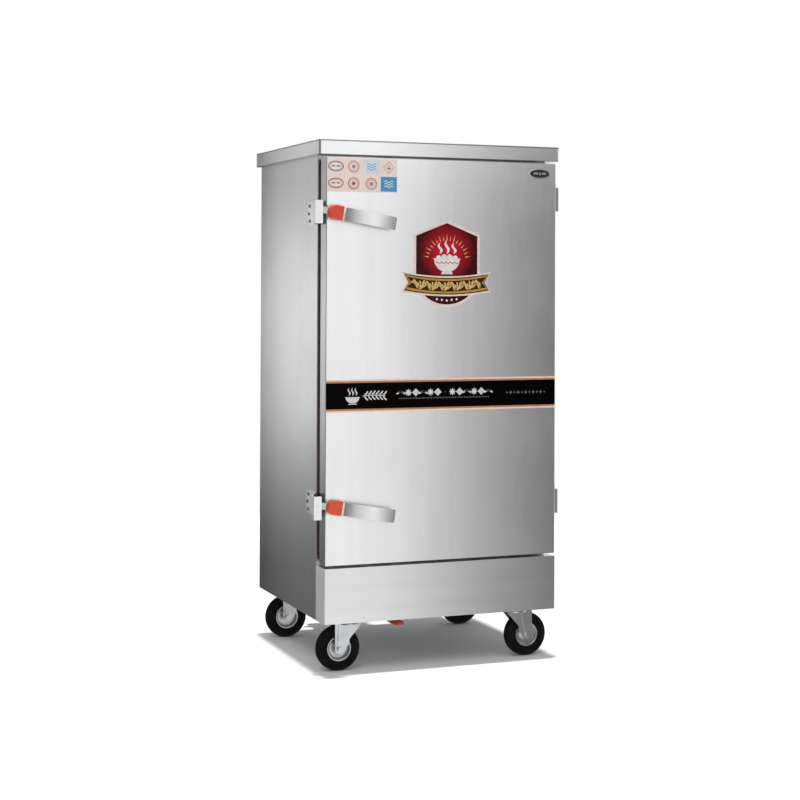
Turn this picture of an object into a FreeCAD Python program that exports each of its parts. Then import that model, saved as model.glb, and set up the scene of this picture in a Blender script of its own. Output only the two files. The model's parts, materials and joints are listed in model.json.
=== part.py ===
import FreeCAD, Part
import math
import os

# Rice steamer cabinet, in millimetres
# The pieces are laid out about the cabinet's own centre line, front towards -Y, floor at z = 0.
# Each is then shifted so that the origin is the bottom centre of everything.

# Planes closer than this count as one
touch = 0.01

# Cabinet envelope
cabinet_width = 700.0
cabinet_depth = 620.0
caster_height = 142.0
plinth_height = 152.0
plinth_edge_radius = 1.8
door_height = 1120.0
door_gap = 8.0
cap_height = 41.0
cap_side_overhang = 16.0
cap_front_setback = 12.0
cap_corner = 6.0
cap_rim_radius = 2.0

# Sheets and insulation
shell_sheet = 1.5
side_return = 14.0
liner_sheet = 1.0
back_insulation = 36.0
ceiling_insulation = 44.0
fold_radius = 2.0

# Door
door_thickness = 48.0
door_side_clearance = 1.0
door_lap = 41.0
seal_gap = 24.0
seal_clearance = 0.2
gasket_inset = 1.5
gasket_base_width = 26.0
gasket_base_thickness = 9.0
gasket_bulb_width = 18.0
gasket_bulb_inset = 1.0
gasket_lip_radius = 2.0
gasket_corner = 22.0
door_field_inset = 62.0
door_field_height = 11.0
door_field_slope = 9.0

# Chassis
frame_rail_height = 40.0
frame_rail_width = 38.0
frame_plate = 3.0
caster_pad_width = 104.0
base_pan_sheet = 1.5

# Hinges
upper_hinge_drop = 102.0
lower_hinge_rise = 147.0
hinge_axis_out = 9.0
hinge_axis_back = 20.0
knuckle_radius = 8.0
knuckle_height = 34.0
knuckle_gap = 0.3
hinge_screw_rise = 25.5
hinge_screw_inset = 14.0
hinge_front_screw_inset = 16.0
hinge_pin_radius = 5.0
hinge_pin_length = 24.0
hinge_pin_clearance = 0.05
hinge_bore_share = 0.85
hinge_leaf_thickness = 3.0
hinge_leaf_length = 64.0
hinge_door_leaf_front = 14.0
hinge_door_leaf_back = 24.0
hinge_leaf_radius = 6.0

# Latches
upper_latch_drop = 152.0
lower_latch_rise = 161.0
latch_inset = 20.0
latch_base_width = 50.0
latch_base_height = 46.0
latch_base_thickness = 6.0
latch_stud_radius = 6.0
latch_stud_clearance = 0.06
latch_hub_radius = 18.0
latch_face_clearance = 0.4
tongue_length = 53.0
tongue_height = 18.0
tongue_thickness = 6.0
keeper_face_clearance = 0.8
keeper_sheet = 2.5
keeper_height = 64.0
keeper_face_width = 22.0
keeper_leaf_length = 76.0
keeper_leaf_start = 5.0
keeper_leaf_corner = 24.0
keeper_tip_clearance = 4.0
keeper_hook_depth = 18.0
keeper_hole_radius = 2.6
keeper_screw_inset = 11.0
keeper_screw_step = 8.0
keeper_screw_rise = 21.0
lever_droop = 9.8
lever_reach = 178.0
lever_height = 36.0
lever_thickness = 4.5
lever_peak_share = 0.629
lever_bow = 20.0
lever_end_rise = 12.0
lever_end_radius = 4.0
grip_length = 43.0
grip_offset = 3.0
grip_height = 40.0
grip_thickness = 12.0
grip_pocket_depth = 4.0

# Lips of folded pans, whose corner radius is a share of their width
lip_corner_share = 0.75

# Roundings of lever ends, of the grip's and dome's rims, and of the latch cap
lever_end_share = 0.8
grip_end_share = 0.6
soft_rim_share = 0.3
latch_cap_share = 0.9

# Trays and racks
tray_count = 12
tray_height = 48.0
tray_sheet = 1.0
tray_flange = 15.0
tray_side_clearance = 5.0
tray_front_gap = 54.0
tray_back_gap = 54.0
first_tray_rise = 36.0
last_tray_headroom = 50.0
rack_post = 3.0
rack_post_width = 22.0
rail_sheet = 1.5
rail_leg = 14.0
rail_lap = 11.0
rail_overrun = 4.0

# Water tank, heaters and baffle
tank_depth = 147.0
tank_side_margin = 38.0
tank_front_margin = 36.0
tank_back_margin = 32.0
tank_sheet = 1.5
tank_flange = 12.0
heater_count = 3
heater_tube_radius = 6.0
heater_bend_radius = 34.0
heater_pitch = 170.0
heater_rise = 24.0
heater_front_gap = 40.0
heater_plate_width = 112.0
heater_plate_height = 44.0
heater_plate_thickness = 4.0
baffle_sheet = 1.2
baffle_lap = 26.0
baffle_hole_radius = 11.0
baffle_rows = 5
baffle_columns = 8
baffle_edge = 62.0
baffle_foot_height = 5.0

# Water supply behind the cabinet
supply_width = 168.0
supply_depth = 88.0
supply_height = 160.0
supply_center_x = -85.0
supply_sheet = 1.5
supply_lid_rim = 12.0
supply_lid_clearance = 0.5
fill_pipe_radius = 11.0
fill_pipe_wall = 1.5
fill_pipe_rise = 26.0
inlet_thread_radius = 10.4
inlet_thread_length = 16.0
inlet_bore_radius = 6.24
valve_block_length = 34.0
valve_block_radius = 12.0
valve_nut_radius = 15.0
valve_nut_thickness = 6.0
valve_drop = 34.0
float_pin_radius = 2.0
float_pin_clearance = 0.05
float_arm_radius = 3.0
float_arm_length = 66.0
float_arm_fall = 38.0
float_ball_radius = 23.0
float_ear_gap = 8.0
float_ear_thickness = 3.0
float_ear_reach = 12.0

# Drain
drain_x = -73.0
drain_y = -62.0
drain_pipe_radius = 13.0
drain_bore_radius = 9.5
drain_ball_radius = 12.0
drain_ball_clearance = 0.3
drain_axis_drop = 18.0
drain_block_radius = 16.0
drain_block_length = 52.0
drain_spigot_length = 34.0
drain_stem_radius = 4.0
drain_stem_clearance = 0.05
drain_ball_bore_share = 0.7
drain_stem_seat_share = 0.8
drain_stem_height = 6.0
drain_lever_length = 104.0
drain_lever_width = 22.0
drain_lever_thickness = 3.0
drain_grip_length = 66.0
drain_grip_width = 30.0
drain_grip_thickness = 9.0

# Steam vent, terminal box and gland
vent_bore_radius = 19.0
vent_wall = 1.5
vent_drop = 96.0
vent_reach = 62.0
vent_flange_radius = 34.0
vent_flange_thickness = 2.0
terminal_width = 190.0
terminal_depth = 78.0
terminal_height = 150.0
terminal_side_margin = 75.0
terminal_rise = 60.0
terminal_sheet = 1.5
terminal_lid_thickness = 9.0
gland_bore_radius = 6.5
gland_thread_radius = 10.0
gland_hex_radius = 14.0
gland_hex_length = 8.0
gland_dome_radius = 12.5
gland_dome_length = 16.0
gland_offset_x = 40.0

# Screws
screw_radius = 2.4
screw_clearance = 0.1
screw_head_radius = 4.6
screw_head_height = 2.4
screw_head_round = 1.44
screw_length = 12.0

# Casters
caster_side_margin = 92.0
caster_end_margin = 70.0
caster_trail = 29.0
wheel_radius = 62.5
wheel_width = 32.0
tyre_depth = 28.0
tyre_shoulder = 9.0
rim_web = 3.0
hub_radius = 12.0
axle_radius = 5.0
axle_clearance = 0.05
axle_head_radius = 8.0
axle_head_thickness = 5.0
fork_side_gap = 2.5
fork_plate = 2.5
fork_crown_width = 66.0
fork_crown_thickness = 3.0
fork_boss_radius = 14.0
fork_leg_width = 42.0
fork_shoulder_drop = 40.0
fork_toe_rise = 14.0
fork_toe_share = 0.75
fork_toe_drop = 0.8
fork_rib_height = 1.5
fork_rib_width = 17.0
fork_rib_front_share = 0.4
fork_rib_back_share = 2.4
race_radius = 27.0
race_height = 3.0
race_gap = 0.3
fork_race_height = 4.0
kingpin_radius = 6.0
kingpin_clearance = 0.05
kingpin_head_radius = 10.0
kingpin_head_thickness = 4.0
caster_plate_length = 96.0
caster_plate_width = 76.0
caster_plate_thickness = 3.0
caster_plate_corner = 8.0
caster_bolt_radius = 4.0
caster_bolt_head_radius = 6.5
caster_bolt_head_thickness = 4.0
caster_bolt_inset = 11.0

# Heights
base_z = caster_height
plinth_top_z = base_z + plinth_height
door_bottom_z = plinth_top_z + door_gap
door_top_z = door_bottom_z + door_height
cap_bottom_z = door_top_z + door_gap
cap_top_z = cap_bottom_z + cap_height
shell_top_z = cap_top_z - shell_sheet
pan_z = base_z + frame_plate
pan_top_z = pan_z + base_pan_sheet
upper_latch_z = door_top_z - upper_latch_drop
lower_latch_z = door_bottom_z + lower_latch_rise
upper_hinge_z = door_top_z - upper_hinge_drop
lower_hinge_z = door_bottom_z + lower_hinge_rise

# Planes across the depth
front_y = -cabinet_depth / 2
back_y = cabinet_depth / 2
door_back_y = front_y + door_thickness
mouth_y = door_back_y + seal_gap
mouth_back_y = mouth_y + shell_sheet
back_panel_y = back_y - shell_sheet
liner_back_y = back_panel_y - back_insulation

# Planes across the width
side_x = cabinet_width / 2
side_inner_x = side_x - shell_sheet
door_x = side_x - door_side_clearance
mouth_x = door_x - door_lap
mouth_bottom_z = door_bottom_z + door_lap
mouth_top_z = door_top_z - door_lap
liner_outer_x = mouth_x + liner_sheet

# Latch pivots and keepers
latch_x = -door_x + latch_inset
latch_base_y = front_y - latch_base_thickness
hub_back_y = latch_base_y - latch_face_clearance
hub_front_y = hub_back_y - tongue_thickness
keeper_back_y = hub_front_y - keeper_face_clearance
keeper_front_y = keeper_back_y - keeper_sheet
keeper_outer_x = latch_x - tongue_length - keeper_tip_clearance
keeper_leaf_front_y = mouth_y + keeper_leaf_start
keeper_leaf_back_y = keeper_leaf_front_y + keeper_leaf_length

# Hinge axis
hinge_x = side_x + hinge_axis_out
hinge_y = front_y + hinge_axis_back
hinge_leaf_back_y = mouth_y + hinge_leaf_length

# Chamber, trays and tank
chamber_back_y = liner_back_y - liner_sheet
rail_top_z = base_z + frame_rail_height
foam_top_z = mouth_top_z + liner_sheet + ceiling_insulation
tray_x = mouth_x - rack_post - tray_side_clearance
tray_front_y = mouth_back_y + tray_front_gap
tray_back_y = chamber_back_y - tray_back_gap
first_tray_z = mouth_bottom_z + first_tray_rise
last_tray_z = mouth_top_z - last_tray_headroom - tray_height
tray_pitch = (last_tray_z - first_tray_z) / (tray_count - 1)
tank_x = mouth_x - tank_side_margin
tank_front_y = mouth_back_y + tank_front_margin
tank_back_y = chamber_back_y - tank_back_margin
tank_z = mouth_bottom_z - tank_depth
tank_top_z = mouth_bottom_z - liner_sheet
heater_z = tank_z + heater_rise
fill_pipe_z = tank_z + fill_pipe_rise
supply_top_z = tank_z + supply_height
supply_back_y = back_y + supply_depth
supply_left_x = supply_center_x - supply_width / 2
supply_right_x = supply_center_x + supply_width / 2
valve_y = back_y + supply_depth / 2
valve_z = supply_top_z - valve_drop
float_pivot_x = supply_left_x + supply_sheet + valve_nut_thickness + valve_block_length + float_ear_reach / 2
drain_z = base_z - drain_axis_drop
vent_z = mouth_top_z - vent_drop
terminal_z = base_z + terminal_rise
terminal_back_y = back_y + terminal_depth
terminal_center_x = side_x - terminal_side_margin - terminal_width / 2
gland_x = terminal_center_x + gland_offset_x
gland_y = back_y + terminal_depth / 2

# Caster stack from the plate down to the fork's crown
caster_x = side_x - caster_side_margin
caster_y = back_y - caster_end_margin
caster_plate_z = base_z - caster_plate_thickness
race_z = caster_plate_z - race_height
fork_race_z = race_z - race_gap - fork_race_height
crown_z = fork_race_z - fork_crown_thickness
kingpin_head_z = crown_z - race_gap - kingpin_head_thickness
fork_inner_y = wheel_width / 2 + fork_side_gap
fork_outer_y = fork_inner_y + fork_plate


def vec(x, y, z):
    return FreeCAD.Vector(x, y, z)


axis_x = vec(1, 0, 0)
axis_y = vec(0, 1, 0)
axis_z = vec(0, 0, 1)


def block(x0, x1, y0, y1, z0, z1):
    return Part.makeBox(x1 - x0, y1 - y0, z1 - z0, vec(x0, y0, z0))


def rod(radius, length, start, direction):
    return Part.makeCylinder(radius, length, start, direction)


def pipe(outer, inner, length, start, direction):
    return rod(outer, length, start, direction).cut(rod(inner, length, start, direction))


def fuse(shapes):
    return shapes[0].multiFuse(shapes[1:]).removeSplitter()


def group(shapes):
    return Part.makeCompound(shapes)


def plate(points, start, travel):
    """Flat outline through points, pushed along travel."""
    face = Part.Face(Part.makePolygon(points + [points[0]]))
    face.translate(start)
    return face.extrude(travel)


def edges_where(shape, keep):
    return [edge for edge in shape.Edges if keep(edge)]


def runs_along(edge, axis):
    if not isinstance(edge.Curve, Part.Line):
        return False
    return abs(edge.tangentAt(edge.FirstParameter).dot(axis)) > 0.999


def round_along(shape, axis, radius, keep=lambda middle: True):
    """Round the straight edges along an axis whose middle point is wanted."""
    edges = edges_where(shape, lambda e: runs_along(e, axis) and keep(e.CenterOfMass))
    return shape.makeFillet(radius, edges)


def soft_block(x0, x1, y0, y1, z0, z1, axis, radius):
    return round_along(block(x0, x1, y0, y1, z0, z1), axis, radius)


def hexagon(radius, height, start, direction):
    """Hexagonal bar, radius to its corners."""
    angles = [k * math.pi / 3 for k in range(6)]
    points = [vec(radius * math.cos(angle), radius * math.sin(angle), 0) for angle in angles]
    bar = plate(points, vec(0, 0, 0), vec(0, 0, height))
    bar.Placement = FreeCAD.Placement(start, FreeCAD.Rotation(axis_z, direction))
    return bar


def mirrored_x(shape):
    return shape.mirror(vec(0, 0, 0), axis_x)


def save(name, shape):
    placed = shape.copy()
    placed.translate(shift)
    placed.exportStep("parts/" + name + ".step")
    total = sum(solid.Volume for solid in placed.Solids)
    print(name, len(placed.Solids), "solids", round(total / 1000.0, 2), "cm3", placed.isValid())


def screw(head_seat, direction):
    """Pan head screw, head under its seat point, shank along direction."""
    back = vec(-direction.x, -direction.y, -direction.z)
    head = rod(screw_head_radius, screw_head_height, head_seat, back)
    top = head_seat + back * screw_head_height
    rim = edges_where(head, lambda e: (e.CenterOfMass - top).Length < touch)
    head = head.makeFillet(screw_head_round, rim)
    shank = rod(screw_radius, screw_length, head_seat, direction)
    return head.fuse(shank).removeSplitter()


def screw_hole(seat, direction):
    return rod(screw_radius + screw_clearance, screw_length + screw_clearance, seat, direction)


# Places of the screws on the cabinet's sides: seat point and driving direction
def keeper_screw_seats():
    seats = []
    for z in (upper_latch_z, lower_latch_z):
        seats.append(vec(-side_x - keeper_sheet, keeper_leaf_back_y - keeper_screw_inset, z))
        for rise in (keeper_screw_rise, -keeper_screw_rise):
            seat_y = keeper_leaf_back_y - keeper_screw_inset - keeper_screw_step
            seats.append(vec(-side_x - keeper_sheet, seat_y, z + rise))
    return seats


def hinge_screw_seats():
    seats = []
    for z in (upper_hinge_z, lower_hinge_z):
        for rise in (-hinge_screw_rise, 0, hinge_screw_rise):
            seats.append(vec(side_x + hinge_leaf_thickness, hinge_leaf_back_y - hinge_screw_inset,
                             z + rise))
        seats.append(vec(side_x + hinge_leaf_thickness, mouth_y + hinge_front_screw_inset,
                         z - knuckle_height / 2))
    return seats


def drill_sides(shape):
    holes = [screw_hole(seat, axis_x) for seat in keeper_screw_seats()]
    holes += [screw_hole(seat, vec(-1, 0, 0)) for seat in hinge_screw_seats()]
    return shape.cut(group(holes))


# Cabinet shell
def side_panel():
    """Left sheet with a front and a back return above the chassis rails, not drilled."""
    folded = soft_block(-side_x, -side_x + side_return, mouth_y, back_y, base_z, shell_top_z, axis_z,
                        fold_radius)
    hollow = block(-side_inner_x, side_x, mouth_back_y, back_panel_y, base_z, shell_top_z)
    notch = block(-side_inner_x, side_x, mouth_y, back_y, base_z, rail_top_z)
    return folded.cut(hollow).cut(notch)


def back_panel():
    sheet_x = side_x - side_return
    sheet = block(-sheet_x, sheet_x, back_panel_y, back_y, rail_top_z, shell_top_z)
    return sheet.cut(group([vent_hole(), fill_pipe_hole()]))


def top_cover():
    """Inverted tray with lips turned in under its rims."""
    outer_x = side_x + cap_side_overhang
    cap_front_y = front_y + cap_front_setback
    cap_back_y = back_y + shell_sheet
    outer = soft_block(-outer_x, outer_x, cap_front_y, cap_back_y, cap_bottom_z, cap_top_z, axis_z,
                       cap_corner)
    rim = edges_where(outer, lambda e: abs(e.CenterOfMass.z - cap_top_z) < touch
                      and not runs_along(e, axis_z))
    outer = outer.makeFillet(cap_rim_radius, rim)
    inner = block(-outer_x + shell_sheet, outer_x - shell_sheet, cap_front_y + shell_sheet, back_y,
                  cap_bottom_z + shell_sheet, shell_top_z)
    throat = block(-side_x, side_x, mouth_y, back_y, cap_bottom_z, cap_bottom_z + shell_sheet)
    return outer.cut(inner).cut(throat)


def lower_front_panel():
    """Plinth apron: front, two side returns and a top shelf."""
    outer = soft_block(-side_x, side_x, front_y, mouth_y + fold_radius, base_z, plinth_top_z, axis_z,
                       fold_radius)
    outer = outer.common(block(-side_x, side_x, front_y, mouth_y, base_z, plinth_top_z))
    top_front = edges_where(outer,
                            lambda e: runs_along(e, axis_x) and e.CenterOfMass.z > plinth_top_z - touch
                            and e.CenterOfMass.y < front_y + touch)
    outer = outer.makeFillet(plinth_edge_radius, top_front)
    inner = block(-side_inner_x, side_inner_x, front_y + shell_sheet, mouth_y, base_z,
                  plinth_top_z - shell_sheet)
    return outer.cut(inner)


def base_frame():
    """Welded chassis: angle rails, caster pads and a closing pan."""
    rail_x = side_inner_x
    rail_y = cabinet_depth / 2 - shell_sheet
    rails = block(-rail_x, rail_x, -rail_y, rail_y, base_z, rail_top_z)
    rails = rails.cut(block(-rail_x + frame_plate, rail_x - frame_plate, -rail_y + frame_plate,
                            rail_y - frame_plate,
                            base_z, rail_top_z))
    feet = block(-rail_x, rail_x, -rail_y, rail_y, base_z, pan_z)
    feet = feet.cut(block(-rail_x + frame_rail_width, rail_x - frame_rail_width,
                          -rail_y + frame_rail_width, rail_y - frame_rail_width, base_z, pan_z))
    parts = [rails, feet, block(-rail_x, rail_x, -rail_y, rail_y, pan_z, pan_top_z)]
    for pad_y in (-caster_y, caster_y):
        parts.append(block(-rail_x, rail_x, pad_y - caster_pad_width / 2, pad_y + caster_pad_width / 2,
                           base_z, pan_z))
    frame = fuse(parts)
    holes = [rod(drain_pipe_radius + screw_clearance, rail_top_z, vec(drain_x, drain_y, 0), axis_z)]
    for x, y, side in caster_places():
        holes += [rod(caster_bolt_radius + screw_clearance, rail_top_z, vec(bx, by, 0), axis_z)
                  for bx, by in bolt_places(x, y)]
    return frame.cut(group(holes))


def mouth_frame():
    """Four welded strips round the chamber's mouth, which the door's gasket presses on."""
    frame_x = side_x - side_return
    strips = [block(-frame_x, frame_x, mouth_y, mouth_back_y, rail_top_z, mouth_bottom_z),
              block(-frame_x, frame_x, mouth_y, mouth_back_y, mouth_top_z, shell_top_z)]
    for x in (-frame_x, mouth_x):
        strips.append(block(x, x + frame_x - mouth_x, mouth_y, mouth_back_y, mouth_bottom_z, mouth_top_z))
    return group(strips)


# Chamber
def chamber_liner():
    """Welded sheets: floor with the tank's well, ceiling, back with the vent's hole and two walls."""
    bottom_z = mouth_bottom_z - liner_sheet
    top_z = mouth_top_z + liner_sheet
    well = block(-tank_x + tank_sheet, tank_x - tank_sheet, tank_front_y + tank_sheet,
                 tank_back_y - tank_sheet,
                 tank_z, mouth_bottom_z)
    floor = block(-liner_outer_x, liner_outer_x, mouth_back_y, liner_back_y, bottom_z,
                  mouth_bottom_z).cut(well)
    ceiling = block(-liner_outer_x, liner_outer_x, mouth_back_y, liner_back_y, mouth_top_z, top_z)
    back = block(-liner_outer_x, liner_outer_x, chamber_back_y, liner_back_y, mouth_bottom_z, mouth_top_z)
    sheets = [floor, ceiling, back.cut(vent_hole())]
    for x in (-liner_outer_x, mouth_x):
        sheets.append(block(x, x + liner_sheet, mouth_back_y, chamber_back_y, mouth_bottom_z, mouth_top_z))
    return group(sheets)


def insulation():
    """Foam slabs at both sides, behind and over the liner."""
    left = block(-side_inner_x, -liner_outer_x, mouth_back_y, back_panel_y, rail_top_z, foam_top_z)
    right = block(liner_outer_x, side_inner_x, mouth_back_y, back_panel_y, rail_top_z, foam_top_z)
    back = block(-liner_outer_x, liner_outer_x, liner_back_y, back_panel_y, rail_top_z, foam_top_z)
    over = block(-liner_outer_x, liner_outer_x, mouth_back_y, liner_back_y, mouth_top_z + liner_sheet,
                 foam_top_z)
    back = back.cut(group([vent_hole(), fill_pipe_hole()]))
    return group([drill_sides(left), drill_sides(right), back, over])


def tray_rack():
    """Right rack: three posts on the liner and an angle rail on them under each tray's flange."""
    post_in_x = mouth_x - rack_post
    rail_tip_x = tray_x - rail_lap
    rail_front_y = tray_front_y - rail_overrun
    rail_back_y = tray_back_y + rail_overrun
    top_z = last_tray_z + tray_height + rail_leg
    middle_y = (rail_front_y + rail_back_y - rack_post_width) / 2
    parts = []
    for post_y in (rail_front_y, middle_y, rail_back_y - rack_post_width):
        parts.append(block(post_in_x, mouth_x, post_y, post_y + rack_post_width, mouth_bottom_z, top_z))
    for level in range(tray_count):
        seat_z = first_tray_z + level * tray_pitch + tray_height - tray_sheet
        seat = block(rail_tip_x, post_in_x, rail_front_y, rail_back_y, seat_z - rail_sheet, seat_z)
        leg = block(post_in_x - rail_sheet, post_in_x, rail_front_y, rail_back_y, seat_z - rail_leg, seat_z)
        parts.append(fuse([seat, leg]))
    return parts


def folded_pan(half_x, y0, y1, z0, z1, sheet, lip):
    """Floor, front, back, right and left wall, welded at their edges; the walls end in a flat lip."""
    inner_x = half_x - sheet
    lip_x = half_x + lip
    lip_corner = lip_corner_share * lip
    floor = block(-inner_x, inner_x, y0 + sheet, y1 - sheet, z0, z0 + sheet)
    front_lip = block(-lip_x, lip_x, y0 - lip, y0 + sheet, z1 - sheet, z1)
    front_lip = round_along(front_lip, axis_z, lip_corner, lambda m: m.y < y0)
    front = fuse([block(-half_x, half_x, y0, y0 + sheet, z0, z1), front_lip])
    back_lip = block(-lip_x, lip_x, y1 - sheet, y1 + lip, z1 - sheet, z1)
    back_lip = round_along(back_lip, axis_z, lip_corner, lambda m: m.y > y1)
    back = fuse([block(-half_x, half_x, y1 - sheet, y1, z0, z1), back_lip])
    right = fuse([block(inner_x, half_x, y0 + sheet, y1 - sheet, z0, z1),
                  block(inner_x, lip_x, y0 + sheet, y1 - sheet, z1 - sheet, z1)])
    return [floor, front, back, right, mirrored_x(right)]


def rice_tray(bottom_z):
    """Folded tray with a flat flange that lies on the rails."""
    return group(folded_pan(tray_x - tray_flange, tray_front_y + tray_flange, tray_back_y - tray_flange,
                            bottom_z, bottom_z + tray_height, tray_sheet, tray_flange))


# Water tank, heaters and baffle
def water_tank():
    """Folded tank under the chamber's floor, with the drain's bore, the heaters' holes and the fill pipe."""
    floor, front, back, right, left = folded_pan(tank_x, tank_front_y, tank_back_y, tank_z, tank_top_z,
                                                 tank_sheet, tank_flange)
    floor = floor.cut(rod(drain_bore_radius, 2 * tank_sheet, vec(drain_x, drain_y, tank_z), axis_z))
    pipe_bore_radius = fill_pipe_radius - fill_pipe_wall
    pipe_start = vec(supply_center_x, tank_back_y, fill_pipe_z)
    wall_drop = vec(0, -1.5 * tank_sheet, 0)
    holes = [rod(pipe_bore_radius, 2 * tank_sheet, pipe_start + wall_drop, axis_y)]
    for x in heater_tube_places():
        start = vec(x, tank_back_y, heater_z) + wall_drop
        holes.append(rod(heater_tube_radius + screw_clearance, 2 * tank_sheet, start, axis_y))
    fill_pipe = pipe(fill_pipe_radius, pipe_bore_radius, back_y + supply_sheet - tank_back_y, pipe_start,
                     axis_y)
    return group([floor, front, back.cut(group(holes)), right, left, fill_pipe])


def fill_pipe_hole():
    start = vec(supply_center_x, tank_back_y, fill_pipe_z)
    return rod(fill_pipe_radius + screw_clearance, back_y + supply_sheet - tank_back_y, start, axis_y)


def heater_centers():
    return [(k - (heater_count - 1) / 2) * heater_pitch for k in range(heater_count)]


def heater_tube_places():
    return [x + side * heater_bend_radius for x in heater_centers() for side in (-1, 1)]


def heater(center_x):
    """Hairpin tube with its mounting plate inside the tank's back wall."""
    bend_y = tank_front_y + tank_sheet + heater_front_gap + heater_bend_radius
    end_y = tank_back_y + heater_plate_thickness * 3
    left = vec(center_x - heater_bend_radius, end_y, heater_z)
    left_bend = vec(center_x - heater_bend_radius, bend_y, heater_z)
    tip = vec(center_x, bend_y - heater_bend_radius, heater_z)
    right_bend = vec(center_x + heater_bend_radius, bend_y, heater_z)
    right = vec(center_x + heater_bend_radius, end_y, heater_z)
    path = Part.Wire([Part.LineSegment(left, left_bend).toShape(),
                      Part.Arc(left_bend, tip, right_bend).toShape(),
                      Part.LineSegment(right_bend, right).toShape()])
    section = Part.Wire(Part.Circle(left, axis_y, heater_tube_radius).toShape())
    tube = path.makePipeShell([section], True, False)
    plate_back_y = tank_back_y - tank_sheet
    flange = block(center_x - heater_plate_width / 2, center_x + heater_plate_width / 2,
                   plate_back_y - heater_plate_thickness, plate_back_y,
                   heater_z - heater_plate_height / 2, heater_z + heater_plate_height / 2)
    return tube.fuse(flange).removeSplitter()


def steam_baffle():
    """Perforated cover over the tank, standing on its turned-down edges."""
    x = tank_x + baffle_lap
    y0 = tank_front_y - baffle_lap
    y1 = tank_back_y + baffle_lap
    top_z = mouth_bottom_z + baffle_foot_height + baffle_sheet
    sheet = block(-x, x, y0, y1, mouth_bottom_z, top_z)
    under = block(-x + baffle_sheet, x - baffle_sheet, y0 + baffle_sheet, y1 - baffle_sheet,
                  mouth_bottom_z, top_z - baffle_sheet)
    step_x = 2 * (x - baffle_edge) / (baffle_columns - 1)
    step_y = (y1 - y0 - 2 * baffle_edge) / (baffle_rows - 1)
    holes = []
    for column in range(baffle_columns):
        for row in range(baffle_rows):
            place = vec(-x + baffle_edge + column * step_x, y0 + baffle_edge + row * step_y, mouth_bottom_z)
            holes.append(rod(baffle_hole_radius, top_z - mouth_bottom_z, place, axis_z))
    return sheet.cut(under).cut(group(holes))


# Water supply behind the cabinet
def supply_box():
    outer = block(supply_left_x, supply_right_x, back_y, supply_back_y, tank_z, supply_top_z)
    inner = block(supply_left_x + supply_sheet, supply_right_x - supply_sheet, back_y + supply_sheet,
                  supply_back_y - supply_sheet, tank_z + supply_sheet, supply_top_z)
    inlet = rod(inlet_thread_radius + screw_clearance, 2 * supply_sheet,
                vec(supply_left_x, valve_y, valve_z), axis_x)
    return outer.cut(inner).cut(group([fill_pipe_hole(), inlet]))


def supply_box_lid():
    """Lid whose rims hang outside the box on three sides."""
    spread = supply_lid_clearance + supply_sheet
    outer = block(supply_left_x - spread, supply_right_x + spread, back_y, supply_back_y + spread,
                  supply_top_z - supply_lid_rim, supply_top_z + supply_sheet)
    inner = block(supply_left_x - supply_lid_clearance, supply_right_x + supply_lid_clearance, back_y,
                  supply_back_y + supply_lid_clearance, supply_top_z - supply_lid_rim, supply_top_z)
    return outer.cut(inner)


def float_valve():
    """Threaded inlet through the box's wall, nuts, valve block and the ears that carry the arm."""
    wall_x = supply_left_x + supply_sheet
    thread_start = vec(supply_left_x - valve_nut_thickness - inlet_thread_length, valve_y, valve_z)
    block_end_x = wall_x + valve_nut_thickness + valve_block_length
    parts = [rod(inlet_thread_radius, wall_x + valve_nut_thickness - thread_start.x, thread_start, axis_x)]
    for nut_x in (supply_left_x - valve_nut_thickness, wall_x):
        parts.append(hexagon(valve_nut_radius, valve_nut_thickness, vec(nut_x, valve_y, valve_z), axis_x))
    block_start = vec(wall_x + valve_nut_thickness, valve_y, valve_z)
    parts.append(rod(valve_block_radius, valve_block_length, block_start, axis_x))
    ear_x0 = block_end_x - float_ear_thickness
    ear_x1 = block_end_x + float_ear_reach
    for side in (-1, 1):
        near = side * float_ear_gap / 2
        far = side * (float_ear_gap / 2 + float_ear_thickness)
        parts.append(block(ear_x0, ear_x1, valve_y + min(near, far), valve_y + max(near, far),
                           valve_z - float_ear_reach / 2, valve_z + float_ear_reach / 2))
    pin_length = float_ear_gap + 2 * float_ear_thickness
    parts.append(rod(float_pin_radius, pin_length, vec(float_pivot_x, valve_y - pin_length / 2, valve_z),
                     axis_y))
    bore = rod(inlet_bore_radius, inlet_thread_length + valve_nut_thickness, thread_start, axis_x)
    return fuse(parts).cut(bore)


def float_arm():
    """Arm with an eye on the valve's pin, hanging down to its ball."""
    eye_width = float_ear_gap - 4 * float_pin_clearance
    eye_radius = float_ear_reach / 2 - 1
    pivot = vec(float_pivot_x, valve_y, valve_z)
    ball_center = pivot + vec(float_arm_length, 0, -float_arm_fall)
    reach = ball_center - pivot
    parts = [rod(eye_radius, eye_width, pivot - vec(0, eye_width / 2, 0), axis_y)]
    parts.append(rod(float_arm_radius, reach.Length, pivot, reach))
    parts.append(Part.makeSphere(float_ball_radius, ball_center))
    pin_hole = rod(float_pin_radius + float_pin_clearance, eye_width, pivot - vec(0, eye_width / 2, 0),
                   axis_y)
    return fuse(parts).cut(pin_hole)


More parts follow.
